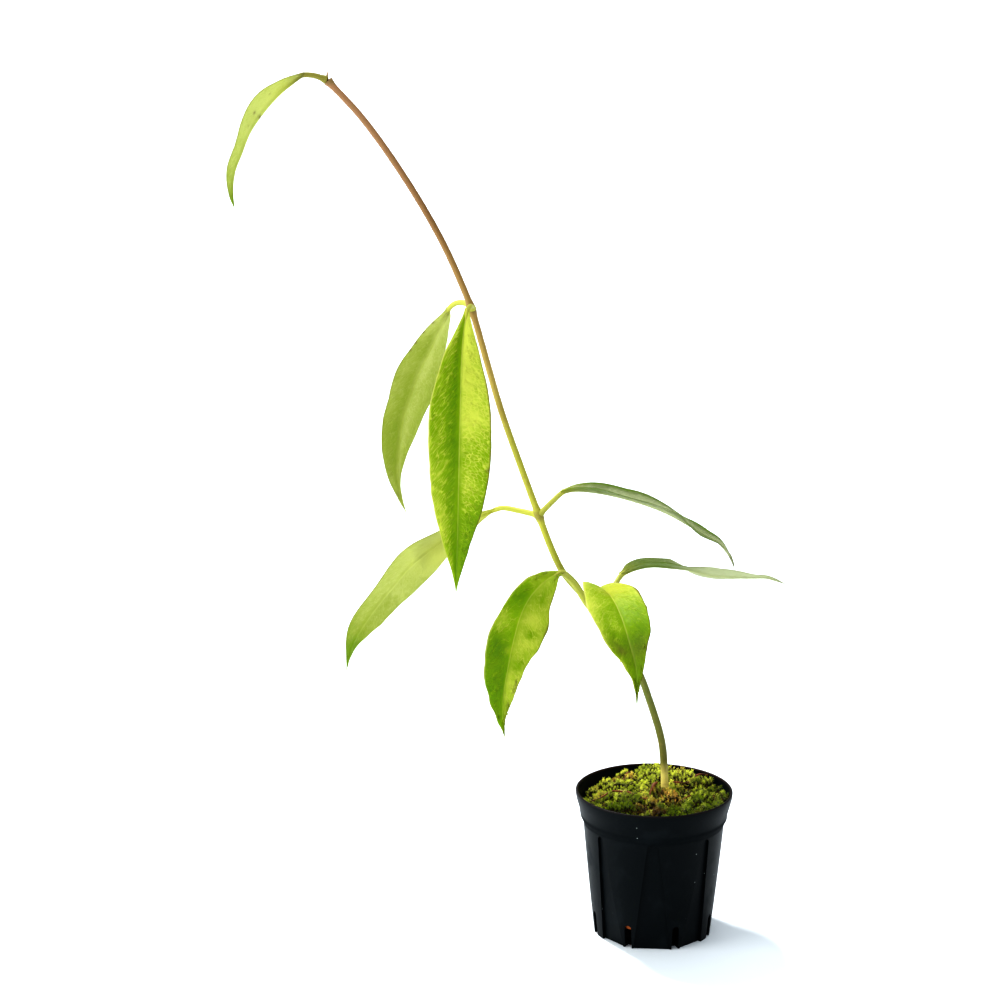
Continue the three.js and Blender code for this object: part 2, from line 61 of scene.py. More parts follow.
camera_data = bpy.data.cameras.new("plant_camera")
camera_data.lens = CAMERA_LENS
camera_data.clip_end = 50
camera = bpy.data.objects.new("plant_camera", camera_data)
camera.location = CAMERA_PLACE
camera.rotation_euler = (math.radians(CAMERA_TILT_DEGREES), 0, 0)
bpy.context.scene.collection.objects.link(camera)
bpy.context.scene.camera = camera
print("camera at", tuple(round(value, 4) for value in CAMERA_PLACE))

# %% [markdown]
# Materials are written as sums. A Wire holds one socket, and each sign between wires adds one
# Math node, so a mask reads like the formula that it is. Any other node comes from
# `paint.node`, which takes its type, its settings, and the values or wires of its sockets.

# %% Paint and wires


class Wire:
    """One output socket that can stand in a sum."""

    def __init__(self, paint, socket):
        self.paint = paint
        self.socket = socket

    def math(self, operation, *others, swap=False):
        terms = [self, *others]
        if swap:
            terms.reverse()
        return self.paint.node("Math", {"operation": operation}, dict(enumerate(terms)))

    def __add__(self, other):
        return self.math("ADD", other)

    __radd__ = __add__

    def __mul__(self, other):
        return self.math("MULTIPLY", other)

    __rmul__ = __mul__

    def __sub__(self, other):
        return self.math("SUBTRACT", other)

    def __rsub__(self, other):
        return self.math("SUBTRACT", other, swap=True)

    def clamped(self):
        return self.math("MINIMUM", 1.0).math("MAXIMUM", 0.0)


class Paint:
    """A material or a sky being mixed: `node` adds a node, `finish` joins it to the output."""

    def __init__(self, name, made=bpy.data.materials):
        self.holder = made.new(name)
        self.holder.use_nodes = True
        self.tree = self.holder.node_tree
        self.tree.nodes.clear()

    def node(self, kind, settings=None, sockets=None, out=0):
        node = self.tree.nodes.new("ShaderNode" + kind)
        for name, value in (settings or {}).items():
            if name == "stops":
                self.set_stops(node.color_ramp, value)
            else:
                setattr(node, name, value)
        for name, value in (sockets or {}).items():
            socket = node.inputs[name]
            if isinstance(value, Wire):
                self.tree.links.new(value.socket, socket)
            else:
                socket.default_value = (*value, 1) if socket.type == "RGBA" else value
        return Wire(self, node.outputs[out]) if node.outputs else None

    @staticmethod
    def set_stops(ramp, stops):
        while len(ramp.elements) < len(stops):
            ramp.elements.new(0.5)
        for element, (place, colour) in zip(ramp.elements, stops):
            element.position = place
            element.color = (*colour, 1)

    def mixed(self, factor, first, second):
        return self.node("Mix", {"data_type": "RGBA"}, {0: factor, 6: first, 7: second}, out=2)

    def places(self):
        return self.node("TexCoord", out="Object")

    def layer(self, name, out=2):
        """What the mesh holds under a name: a colour (0), a vector (1), a number (2), alpha (3)."""
        return self.node("Attribute", {"attribute_name": name}, out=out)

    def split(self, whole, kind="XYZ"):
        """The three parts of a vector or, with the kind Color, of a colour."""
        first = self.node("Separate" + kind, {}, {0: whole})
        return [Wire(self, socket) for socket in first.socket.node.outputs]

    def speckle(self, scale, detail=3.0, roughness=0.55, at=None):
        return self.node("TexNoise", {}, {
            "Vector": at or self.places(), "Scale": scale, "Detail": detail,
            "Roughness": roughness,
        })

    def ramp(self, factor, low, high):
        return self.node("MapRange", {"interpolation_type": "SMOOTHSTEP"},
                         {"Value": factor, "From Min": low, "From Max": high})

    def bump(self, height, strength, distance):
        return self.node("Bump", {}, {"Height": height, "Strength": strength,
                                      "Distance": distance})

    def skin(self, base, roughness, gloss, **normal):
        """An opaque surface, whose gloss is its specular level."""
        return self.node("BsdfPrincipled", {}, {
            "Base Color": base, "Roughness": roughness, "Specular IOR Level": gloss, **normal,
        })

    def finish(self, shader, output="OutputMaterial"):
        self.node(output, {}, {"Surface": shader})
        return self.holder


print("a paint can", [name for name in vars(Paint) if not name.startswith("_")])

# %% [markdown]
# Plain soft studio light. A broad sun stands behind and to the left, so light comes through the
# leaves and the pot's shadow falls to the right and forward. A large soft panel on the left
# lights the front of the stem and of the leaf halves that face it. The sky is white along the
# horizon, where it is the backdrop, dimmer above that, most of all on the right, so that round
# things keep a shaded side, and bright overhead, where it fills the shadows on the floor.

# %% Light
SUN_FROM = Vector((-0.5, 0.65, 1.3))
SUN_STRENGTH = 3.0
SUN_SOFTNESS_DEGREES = 7
PANEL_PLACE = Vector((-1.5, -0.45, 0.6))
PANEL_AIM = Vector((-0.05, 0, 0.2))
PANEL_SIZE = 0.9
PANEL_WATTS = 17
SKY_WHITE = 1.02
SKY_LEFT = 0.6
SKY_RIGHT = 0.3
SKY_TOP = 1.15


def add_light(kind, name, place, aim, **settings):
    data = bpy.data.lights.new(name, kind)
    for key, value in settings.items():
        setattr(data, key, value)
    light = bpy.data.objects.new(name, data)
    light.location = place
    light.rotation_euler = (aim - place).to_track_quat("-Z", "Y").to_euler()
    bpy.context.scene.collection.objects.link(light)
    return light


def pale_sky():
    paint = Paint("pale_sky", bpy.data.worlds)
    east, _, height = paint.split(paint.node("TexCoord"))
    low = 1 - paint.ramp(height.math("ABSOLUTE"), 0.05, 0.2)
    sides = SKY_RIGHT + (SKY_LEFT - SKY_RIGHT) * (1 - paint.ramp(east, -0.8, 0.8))
    top = paint.ramp(height, 0.45, 0.75)
    upper = SKY_TOP * top + sides * (1 - top)
    strength = SKY_WHITE * low + upper * (1 - low)
    tint = paint.mixed(low, (0.94, 0.99, 1.03), (1.0, 1.0, 1.0))
    glow = paint.node("Background", {}, {0: tint, 1: strength})
    return paint.finish(glow, "OutputWorld")


add_light("SUN", "sun", SUN_FROM, Vector(), energy=SUN_STRENGTH,
          angle=math.radians(SUN_SOFTNESS_DEGREES))
add_light("AREA", "left_panel", PANEL_PLACE, PANEL_AIM, energy=PANEL_WATTS, size=PANEL_SIZE)
bpy.context.scene.world = pale_sky()
bpy.context.scene.view_settings.view_transform = "Standard"
bpy.context.scene.view_settings.look = "High Contrast"
print("lights:", [light.name for light in bpy.data.lights])

# %% [markdown]
# The floor is a plain pale sheet, wide enough to run out of every view; it isn't part of the
# plant. It lies a hair under the pot, so that the two don't flicker against each other.

# %% Floor
FLOOR_HALF_WIDTH = 60.0
FLOOR_DROP = 0.15 * MM


def new_object(name, bm, materials):
    mesh = bpy.data.meshes.new(name)
    bm.to_mesh(mesh)
    bm.free()
    for material in materials:
        mesh.materials.append(material)
    piece = bpy.data.objects.new(name, mesh)
    bpy.context.scene.collection.objects.link(piece)
    return piece


def floor_material():
    paint = Paint("pale_floor")
    cloud = paint.speckle(6.0, detail=2.0)
    base = paint.mixed(paint.ramp(cloud, 0.3, 0.7), (0.735, 0.775, 0.805),
                       (0.765, 0.805, 0.835))
    return paint.finish(paint.skin(base, 0.6, 0.2))


floor_mesh = bmesh.new()
bmesh.ops.create_grid(floor_mesh, x_segments=2, y_segments=2, size=FLOOR_HALF_WIDTH)
bmesh.ops.translate(floor_mesh, verts=floor_mesh.verts, vec=(0, 0, -FLOOR_DROP))
floor = new_object("pale_floor", floor_mesh, [floor_material()])
print("floor", FLOOR_HALF_WIDTH * 2, "m wide")

# %% [markdown]
# Stems, stalks and midribs all follow smooth routes through a few given points, the same
# ones as the solids follow. A route turns its points into Bezier stretches whose handles come
# from the neighbouring points, weighted by the square root of their distance, so that close
# points don't make loops. Places are then looked up by length.

# %% Routes
SAMPLES_PER_STRETCH = 24


class Route:
    """A smooth line through points in millimetres, looked up by a share of its length."""

    def __init__(self, points):
        knots = [Vector(point) for point in points]
        knots = [2 * knots[0] - knots[1], *knots, 2 * knots[-1] - knots[-2]]
        self.samples = []
        for before, start, end, after in zip(knots, knots[1:], knots[2:], knots[3:]):
            steps = [math.sqrt((b - a).length) for a, b in
                     ((before, start), (start, end), (end, after))]
            leave = self.slope(before, start, end, steps[0], steps[1]) * steps[1]
            arrive = self.slope(start, end, after, steps[1], steps[2]) * steps[1]
            stretch = geometry.interpolate_bezier(start, start + leave / 3, end - arrive / 3,
                                                  end, SAMPLES_PER_STRETCH)
            self.samples += stretch if not self.samples else stretch[1:]
        self.marks = [0.0]
        for a, b in zip(self.samples, self.samples[1:]):
            self.marks.append(self.marks[-1] + (b - a).length)
        self.length = self.marks[-1]

    @staticmethod
    def slope(before, here, after, step_in, step_out):
        return ((here - before) / step_in - (after - before) / (step_in + step_out)
                + (after - here) / step_out)

    def at(self, share):
        target = min(max(share, 0.0), 1.0) * self.length
        row = min(max(bisect.bisect_right(self.marks, target) - 1, 0), len(self.samples) - 2)
        part = (target - self.marks[row]) / (self.marks[row + 1] - self.marks[row])
        return self.samples[row].lerp(self.samples[row + 1], part)

    def heading(self, share):
        reach = 0.5 / self.length
        low = max(share - reach, 0.0)
        high = min(share + reach, 1.0)
        return (self.at(high) - self.at(low)).normalized()


def square_to(heading, direction):
    """A direction without its share along the heading, at length one."""
    return (direction - heading * direction.dot(heading)).normalized()


test_route = Route([(0, 0, 0), (0, 0, 10), (0, 3, 20)])
print("a test route is", round(test_route.length, 2), "mm long")

# %% [markdown]
# A living stem is a long tube whose width changes: it swells at nodes and tapers. It could be a
# curve with a round bevel, but then each ring keeps the same round section. So a flat grid is
# rolled into a tube, point by point, and its seam and ends are welded.

# %% Tube
def rolled_tube(bm, route, radius_at, sides, rows):
    """Adds a closed tube in metres. radius_at takes a share of the length and an angle."""
    made = bmesh.ops.create_grid(bm, x_segments=sides, y_segments=rows, size=0.5)
    upright = route.heading(0).orthogonal()
    frames = []
    for row in range(rows + 1):
        heading = route.heading(row / rows)
        upright = square_to(heading, upright)
        frames.append((route.at(row / rows), upright.copy(), heading.cross(upright)))
    for vert in made["verts"]:
        share = vert.co.y + 0.5
        angle = 2 * math.pi * (vert.co.x + 0.5)
        centre, up, side = frames[round(share * rows)]
        radius = 0 if min(share, 1 - share) < 1e-6 else radius_at(share, angle)
        vert.co = (centre + radius * (math.cos(angle) * up + math.sin(angle) * side)) * MM
    bmesh.ops.remove_doubles(bm, verts=made["verts"], dist=1e-7)
    return [vert for vert in made["verts"] if vert.is_valid]


print("tube maker ready")

# %% [markdown]
# The pot is a thin moulded cone with a wider band under its lip. Eight flat panels are pressed
# into its side, and between their feet the wall is slotted for drainage. Each corner panel is
# narrower and leans towards the front or back one. The panels have crisp arched edges, which
# moving the points of a spun wall would leave ragged. So the outside and the inside are each
# spun, both lose eight leaned blocks, and one is taken from the other.

# %% Pot form
POT_HEIGHT = 70.0
FOOT_RADIUS = 28.8
NECK_RADIUS = 33.7
NECK_HEIGHT = 54.6
BAND_RADIUS = 35.2
BAND_HEIGHT = 57.8
LIP_RADIUS = 37.5
LIP_ROUND = 0.6
POT_WALL = 1.2
POT_STEPS = 192
PANEL_COUNT = 8
PANEL_TURN = math.radians(-4.2)
PANEL_FOOT_DISTANCE = 26.8
PANEL_TOP_DISTANCE = 32.2
PANEL_TOP_HEIGHT = 52.0
EVEN_PANEL = {"foot": 8.6, "top": 2.8, "foot_shift": 0.0, "top_shift": 0.0}
CORNER_PANEL = {"foot": 6.5, "top": 1.8, "foot_shift": 2.1, "top_shift": -1.7}
BLOCK_REACH = 14.0
SECTOR = 2 * math.pi / PANEL_COUNT


def eased(low, high, value):
    part = min(max((value - low) / (high - low), 0.0), 1.0)
    return part * part * (3 - 2 * part)


def mix(first, second, part):
    return first + (second - first) * part


def cone_radius(height):
    side = mix(FOOT_RADIUS, NECK_RADIUS, height / NECK_HEIGHT)
    band = mix(BAND_RADIUS, LIP_RADIUS, eased(BAND_HEIGHT, POT_HEIGHT - 0.5, height))
    return mix(side, band, eased(NECK_HEIGHT - 0.4, BAND_HEIGHT + 0.3, height))


def panel_distance(height):
    return mix(PANEL_FOOT_DISTANCE, PANEL_TOP_DISTANCE, height / PANEL_TOP_HEIGHT)


def panel_at(i):
    """The panel at a place in the ring, and the side that its foot is shifted to."""
    return (CORNER_PANEL if i % 2 else EVEN_PANEL), (-1 if i % 4 == 3 else 1)


def panel_span(i, height):
    """Where the middle of a panel lies, and its half width, at a height."""
    panel, side = panel_at(i)
    part = height / PANEL_TOP_HEIGHT
    middle = side * mix(panel["foot_shift"], panel["top_shift"], part)
    return middle, mix(panel["foot"], panel["top"], part)


def round_topped(span_at, foot, top, grown=0.0):
    """The outline of an opening with a round top, as places across and heights."""
    (low_middle, low_half), (middle, half) = span_at(foot), span_at(top)
    arc = [(middle + (half + grown) * math.cos(turn), top + (half + grown) * math.sin(turn))
           for turn in (math.pi * i / 14 for i in range(15))]
    return [(low_middle - low_half - grown, foot), (low_middle + low_half + grown, foot), *arc]


def ring_of_blocks(name, outlines, distance_at, first_turn):
    """Closed blocks that stand outwards from leaned outlines, all in one piece."""
    bm = bmesh.new()
    for i, outline in enumerate(outlines):
        verts = [bm.verts.new((distance_at(z) * MM, x * MM, z * MM)) for x, z in outline]
        grown = bmesh.ops.extrude_face_region(bm, geom=[bm.faces.new(verts)])
        moved = [item for item in grown["geom"] if isinstance(item, bmesh.types.BMVert)]
        bmesh.ops.translate(bm, verts=moved, vec=(BLOCK_REACH * MM, 0, 0))
        bmesh.ops.rotate(bm, verts=verts + moved, cent=(0, 0, 0),
                         matrix=Matrix.Rotation(first_turn + i * SECTOR, 3, "Z"))
    bmesh.ops.recalc_face_normals(bm, faces=bm.faces)
    return new_object(name, bm, [])


def spun(profile):
    """Spins rows of radius and height, in millimetres, into a closed form in metres."""
    bm = bmesh.new()
    verts = [bm.verts.new((radius * MM, 0, height * MM)) for radius, height in profile]
    edges = [bm.edges.new(pair) for pair in zip(verts, verts[1:])]
    bmesh.ops.spin(bm, geom=verts + edges, cent=(0, 0, 0), axis=(0, 0, 1), dvec=(0, 0, 0),
                   angle=2 * math.pi, steps=POT_STEPS, use_merge=True)
    bmesh.ops.remove_doubles(bm, verts=bm.verts, dist=1e-7)
    bmesh.ops.recalc_face_normals(bm, faces=bm.faces)
    return bm


def wall_heights(low, high, steps):
    return [mix(low, high, i / steps) for i in range(steps + 1)]


print("cone radius at the lip", cone_radius(POT_HEIGHT))

# %% [markdown]
# The wall is cut in four steps: panels out of the outside, wider panels out of the inside, the
# inside out of the outside, and the slots through both. Each step is one Boolean modifier,
# because an opening through two walls has no simple operator of its own.

# %% Pot walls and slots
SLOT_HALF_WIDTH = 1.7
SLOT_HEIGHT = 11.5
SLOT_INNER_RADIUS = 25.0
FOOT_ROUND = 0.4
DUST_CELLS = 210
# The top of the lip, which carries a thin painted highlight.
LIP_HIGHLIGHT_BAND = (0.0690, 0.0698)
COVE_FROM = (0.0535, 0.0550)
COVE_TO = (0.0575, 0.0595)
WALL_ROWS = wall_heights(NECK_HEIGHT - 0.6, BAND_HEIGHT + 0.6, 14) + [60, 62, 64, 66, 68]


def outside_profile():
    rise = [0.12 * FOOT_ROUND, FOOT_ROUND, 10, 25, 40]
    rise += WALL_ROWS + [POT_HEIGHT - LIP_ROUND]
    arc = [(LIP_RADIUS - LIP_ROUND * (1 - math.cos(turn)),
            POT_HEIGHT - LIP_ROUND * (1 - math.sin(turn)))
           for turn in (math.pi * i / 6 for i in range(1, 6))]
    top = [(LIP_RADIUS - 2 * LIP_ROUND, POT_HEIGHT - LIP_ROUND), (0, POT_HEIGHT - LIP_ROUND)]
    return [(0, 0), (FOOT_RADIUS - FOOT_ROUND, 0),
            *[(cone_radius(height), height) for height in rise], *arc, *top]


def inside_profile():
    rise = [POT_WALL, 10, 25, 40, *WALL_ROWS, POT_HEIGHT - LIP_ROUND]
    return [(0, POT_WALL), *[(cone_radius(height) - POT_WALL, height) for height in rise],
            (LIP_RADIUS - 2 * LIP_ROUND, POT_HEIGHT + 2), (0, POT_HEIGHT + 2)]


def applied(piece):
    """Bakes a piece's modifiers into its mesh."""
    graph = bpy.context.evaluated_depsgraph_get()
    finished = bpy.data.meshes.new_from_object(piece.evaluated_get(graph))
    piece.modifiers.clear()
    piece.data = finished
    return piece


def cut_with(piece, block):
    cut = piece.modifiers.new("cut", "BOOLEAN")
    cut.operation = "DIFFERENCE"
    cut.solver = "EXACT"
    cut.object = block
    applied(piece)
    bpy.data.objects.remove(block)
    return piece


def smooth_but_for(piece, degrees):
    piece.data.shade_smooth()
    piece.data.set_sharp_from_angle(angle=math.radians(degrees))


def panel_blocks(grown):
    outlines = [round_topped(lambda height: panel_span(i, height), -4, PANEL_TOP_HEIGHT, grown)
                for i in range(PANEL_COUNT)]
    return ring_of_blocks("panel_blocks", outlines,
                          lambda height: panel_distance(height) - grown, PANEL_TURN)


def pot_material():
    paint = Paint("black_moulded_plastic")
    grain = paint.speckle(2600, detail=2.0)
    cloud = paint.speckle(70, detail=4.0)
    rub = paint.ramp(cloud, 0.52, 0.75)
    _, back, height = paint.split(paint.places())
    lip = paint.ramp(height, *LIP_HIGHLIGHT_BAND)
    cells, drawn = (paint.node("TexVoronoi", {}, {"Vector": paint.places(), "Scale": DUST_CELLS},
                               out=i) for i in (0, 1))
    chance = paint.split(drawn, "Color")[0]
    dust = (1 - paint.ramp(cells, 0.03, 0.065)) * paint.ramp(chance, 0.62, 0.9)
    base = paint.mixed(rub, (0.0035, 0.0052, 0.0062), (0.007, 0.0095, 0.011))
    # Painted highlight: a thin reddish-brown line of light along the lip's top, strongest at the
    # back, towards the sun.
    lip_highlight = lip * (0.25 + 0.75 * paint.ramp(back, -0.005, 0.03))
    base = paint.mixed(lip_highlight, base, (0.030, 0.016, 0.013))
    base = paint.mixed(dust, base, (0.38, 0.43, 0.40))
    cove = paint.ramp(height, *COVE_FROM) * (1 - paint.ramp(height, *COVE_TO))
    roughness = 0.42 + 0.16 * rub + 0.3 * dust + 0.35 * cove
    normal = paint.bump(grain * 0.6 + cloud * 0.4, 0.25, 0.0002)
    return paint.finish(paint.skin(base, roughness, 0.06, Normal=normal))


pot = new_object("moulded_pot", spun(outside_profile()), [pot_material()])
cut_with(pot, panel_blocks(0))
pot_inside = cut_with(new_object("pot_inside", spun(inside_profile()), []),
                      panel_blocks(POT_WALL))
cut_with(pot, pot_inside)
slot_outline = round_topped(lambda height: (0, SLOT_HALF_WIDTH), -2,
                            SLOT_HEIGHT - SLOT_HALF_WIDTH)
cut_with(pot, ring_of_blocks("slot_blocks", [slot_outline] * PANEL_COUNT,
                             lambda height: SLOT_INNER_RADIUS, PANEL_TURN + SECTOR / 2))
smooth_but_for(pot, 40)
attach(pot, "root")
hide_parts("pot")
print("pot faces:", len(pot.data.polygons))

# %% [markdown]
# Potting medium is loose bark, fibre and grit. Only its edge shows, in the drain slots, and its
# top is under moss. A spun form that follows the pot's inside, roughened by noise, reads as
# packed crumbs and stays one closed body.

# %% Growing medium
MEDIUM_GAP = 0.35
MEDIUM_TOP = 54.3
MEDIUM_CRUMB = 0.9
MEDIUM_RINGS = (12, 22)
MEDIUM_SPUN_RADIUS = 30
SLOT_DENT = 5.0
FALLEN_ANGLE = PANEL_TURN + math.radians(-112.5)
FALLEN_HEIGHT = 7.5


def medium_reach(angle, height):
    """How far out the medium reaches behind the wall, the flat panels and the slots."""
    inset = POT_WALL + MEDIUM_GAP
    reach = cone_radius(height) - inset
    i = round((angle - PANEL_TURN) / SECTOR)
    off_panel = angle - PANEL_TURN - i * SECTOR
    flat = (panel_distance(height) - inset) / math.cos(off_panel)
    middle, half = panel_span(i, min(height, PANEL_TOP_HEIGHT))
    if abs(flat * math.sin(off_panel) - middle) < half + inset + 0.6:
        reach = min(reach, flat)
    beside_slot = (SECTOR / 2 - abs(off_panel)) * reach - SLOT_HALF_WIDTH
    fallen = abs(angle - FALLEN_ANGLE) < SECTOR / 2
    top = FALLEN_HEIGHT if fallen else SLOT_HEIGHT + 2
    dent = (1 - eased(0.3, 2.6, beside_slot)) * (1 - eased(top, top + 1.5, height))
    return reach - SLOT_DENT * dent


def medium_material():
    paint = Paint("bark_and_fibre")
    cells = paint.node("TexVoronoi", {}, {"Vector": paint.places(), "Scale": 420}, out=1)
    chance = paint.split(cells, "Color")[0]
    base = paint.node("ValToRGB", {"stops": [
        (0.0, (0.06, 0.02, 0.008)), (0.35, (0.30, 0.07, 0.02)),
        (0.7, (0.45, 0.13, 0.04)), (1.0, (0.50, 0.28, 0.12)),
    ]}, {"Fac": chance})
    east, _, height = paint.split(paint.places())
    # Painted shade: the bark is painted near black, as the slots' depths look in shade, everywhere
    # but on its left side above about 8 mm, which the fallen slot shows in light.
    fallen = paint.ramp(height, 0.0070, 0.0085) * (1 - paint.ramp(east, -0.008, -0.004))
    base = paint.mixed(fallen, (0.010, 0.006, 0.004), base)
    normal = paint.bump(paint.speckle(1500), 0.6, 0.0004)
    return paint.finish(paint.skin(base, 0.95, 0.05, Normal=normal))


floor_top = POT_WALL + MEDIUM_GAP
side_heights = wall_heights(floor_top, MEDIUM_TOP, 50)
medium_mesh = spun([(0, floor_top), *[(ring, floor_top) for ring in MEDIUM_RINGS],
                    *[(MEDIUM_SPUN_RADIUS, height) for height in side_heights],
                    (24, MEDIUM_TOP), (12, MEDIUM_TOP), (0, MEDIUM_TOP)])
for vert in medium_mesh.verts:
    outward = Vector((vert.co.x, vert.co.y, 0))
    if outward.length > 25 * MM:
        reach = medium_reach(math.atan2(vert.co.y, vert.co.x), vert.co.z / MM)
        crumb = noise.noise(vert.co * 550) * 0.5 + 0.5
        vert.co += outward.normalized() * ((reach - crumb * MEDIUM_CRUMB) * MM - outward.length)
medium = new_object("potting_medium", medium_mesh, [medium_material()])
medium.data.shade_smooth()
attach(medium, "root")
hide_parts("growing_medium")
print("medium faces:", len(medium.data.polygons))

# %% [markdown]
# The moss is a low cushion of round tufts with dark gaps between them, high at the back and low
# along the left. A flat disc under the shoots would show through the gaps, so a spun bed is
# raised by a sum of round swells and by one small swell for each tuft.

# %% Moss bed
MOSS_LEVEL = 67.3
MOSS_FLOOR = 54.9
MOSS_RADIUS = 35.4
BED_DROP = 1.6
TUFT_SIZE = 6.5
TUFT_RISE = 3.0
STEM_FOOT = Vector((5.5, 5.0))
MOSS_FORMS = [
    (-39, 4, 11, -6.5), (-30, -20, 9, -1.5), (-26, 22, 8, -1.5), (6, 31, 14, 2.6),
    (26, 22, 11, 1.8), (-9, 20, 10, 1.2), (-15, 2, 8, 0.8), (28, 9, 6, -3.0),
    (9, -13, 7, -2.0), (20, -18, 8, 0.6), (-8, -16, 9, 0.5), (0, -36, 15, -2.2),
    (3, -5, 5, 1.0),
]


def swells(forms, x, y):
    """The sum at a place of round swells, each with its middle, its spread and its rise."""
    return sum(rise * math.exp(-((x - fx) ** 2 + (y - fy) ** 2) / spread ** 2)
               for fx, fy, spread, rise in forms)


def tuft_at(x, y):
    """The tuft at a place: how far inside it, its middle and its own draw. No gap opens
    between tufts round the stem's foot."""
    near, middles = noise.voronoi(Vector((x / TUFT_SIZE, y / TUFT_SIZE, 5.5)))
    by_stem = (Vector((x, y)) - STEM_FOOT).length
    inside = max(eased(0.0, 0.55, near[1] - near[0]), 1 - eased(4, 9, by_stem))
    middle = middles[0]
    return inside, Vector((middle.x, middle.y)) * TUFT_SIZE, noise.cell_vector(middle * 9)


def moss_level(x, y):
    inside, _, chance = tuft_at(x, y)
    tuft = TUFT_RISE * (inside - 0.6) * (0.6 + 0.6 * chance.z)
    return MOSS_LEVEL + swells(MOSS_FORMS, x, y) + tuft


def bed_material():
    paint = Paint("moss_bed")
    cloud = paint.speckle(260, detail=5.0)
    base = paint.mixed(paint.ramp(cloud, 0.35, 0.65), (0.006, 0.007, 0.002),
                       (0.045, 0.03, 0.008))
    normal = paint.bump(paint.speckle(1300), 0.8, 0.0005)
    return paint.finish(paint.skin(base, 1.0, 0.1, Normal=normal))


bed_rings = [MOSS_RADIUS * i / 50 for i in range(1, 51)]
bed_mesh = spun([(0, MOSS_FLOOR), (18, MOSS_FLOOR), (30.8, MOSS_FLOOR), (32.6, 57.6),
                 *[(ring, MOSS_LEVEL) for ring in reversed(bed_rings)], (0, MOSS_LEVEL)])
for vert in bed_mesh.verts:
    if vert.co.z > (MOSS_LEVEL - 1) * MM:
        level = moss_level(vert.co.x / MM, vert.co.y / MM)
        vert.co.z = (level - BED_DROP + 0.5 * noise.noise(vert.co * 400)) * MM
bed = new_object("moss_bed", bed_mesh, [bed_material()])
bed.data.shade_smooth()
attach(bed, "root")
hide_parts("moss_carpet")
print("moss level in the middle", round(moss_level(0, 0), 1))

# %% [markdown]
# Moss is thousands of tiny shoots, each a stalk ringed with pointed leaflets. Hair or instances
# would look right but vanish when the model is saved. So a few shoots are modelled from small
# cones and copied into one mesh, leaned and sized by a seeded draw.

# %% Moss shoots
SHOOT_COUNT = 3050
SHOOT_HEIGHT = 2.7
SHOOT_KINDS = 5
SHOOT_LEAN = 38
STRAY_LEAN = 14
STRAY_HEADING = 0.8
WHORL_SPAN = (0.45, 0.97)
WHORL_OPENINGS = (84, 34)
LEAFLET_LENGTH = 1.35
LEAFLET_RADIUS = 0.23
WHORLS = 3
LEAFLETS_IN_WHORL = 5
SHOOT_EDGE_MARGIN = 0.9
BROWN_FORMS = [(-2, -8, 10, 0.45), (0, -25, 12, 0.4), (13, -3, 8, 0.35), (29, 12, 9, 0.45),
               (12, 15, 6, 0.35), (-24, -12, 6, 0.25), (-14, 20, 5, 0.3)]
STEM_CLEARANCE = 1.9
SHOOT_RIM_GAP = 0.6
SHOOT_JITTER = 0.6
SHOOT_SIZES = (0.6, 0.95)


def add_cone(bm, base_radius, length, matrix, sides=3):
    bmesh.ops.create_cone(bm, cap_ends=True, cap_tris=False, segments=sides,
                          radius1=base_radius * MM, radius2=0, depth=length * MM,
                          matrix=matrix @ Matrix.Translation((0, 0, length * MM / 2)))


def shoot_mesh(draw):
    """One moss shoot, a stalk with whorls of leaflets that open less towards its tip."""
    bm = bmesh.new()
    add_cone(bm, 0.3, SHOOT_HEIGHT, Matrix.Identity(4))
    for whorl in range(WHORLS):
        share = mix(*WHORL_SPAN, whorl / (WHORLS - 1))
        opening = math.radians(mix(*WHORL_OPENINGS, whorl / (WHORLS - 1)))
        for leaflet in range(LEAFLETS_IN_WHORL):
            turn = 2 * math.pi * (leaflet + 0.5 * whorl) / LEAFLETS_IN_WHORL
            turn += draw.uniform(-0.35, 0.35)
            lean = opening * draw.uniform(0.75, 1.2)
            place = (Matrix.Translation((0, 0, share * SHOOT_HEIGHT * MM * 0.9))
                     @ Matrix.Rotation(turn, 4, "Z") @ Matrix.Rotation(lean, 4, "X"))
            add_cone(bm, LEAFLET_RADIUS, LEAFLET_LENGTH * draw.uniform(0.7, 1.15), place)
    bmesh.ops.remove_doubles(bm, verts=bm.verts, dist=1e-8)
    for key in ("tip", "age", "bright"):
        bm.verts.layers.float.new(key)
    tip = bm.verts.layers.float["tip"]
    for vert in bm.verts:
        reach = math.hypot(vert.co.x, vert.co.y) / (LEAFLET_LENGTH * MM)
        vert[tip] = min(1.0, 0.75 * vert.co.z / (SHOOT_HEIGHT * MM) + 0.4 * reach)
    mesh = bpy.data.meshes.new("shoot")
    bm.to_mesh(mesh)
    bm.free()
    return mesh


def moss_age(x, y, chance, draw):
    """0 is fresh green, 1 is brown. Most brown tufts stand in front of the stem."""
    patch = (chance.x - 0.5) * 0.7
    age = 0.12 + swells(BROWN_FORMS, x, y) + patch + draw.uniform(-0.25, 0.25)
    return min(max(age, 0.0), 1.0)


def shoots_material():
    paint = Paint("moss_shoots")
    tip, age, bright = (paint.layer(key) for key in ("tip", "age", "bright"))
    # Painted shade and highlight: each shoot is painted near black at its foot, and the brightest
    # are painted near white-yellow at their tips.
    green = paint.mixed(bright, (0.14, 0.20, 0.008), (1.0, 1.0, 0.20))
    brown = paint.mixed(bright, (0.14, 0.065, 0.010), (0.85, 0.55, 0.12))
    lit = paint.ramp(tip, 0.3, 0.8)
    fresh = paint.mixed(lit, (0.012, 0.022, 0.002), green)
    old = paint.mixed(lit, (0.02, 0.010, 0.003), brown)
    base = paint.mixed(paint.ramp(age, 0.35, 0.8), fresh, old)
    skin = paint.skin(base, 0.38, 0.45)
    glow = paint.node("BsdfTranslucent", {}, {"Color": (0.75, 0.85, 0.06)})
    through = 0.4 * lit * (1 - age)
    return paint.finish(paint.node("MixShader", {}, {0: through, 1: skin, 2: glow}))


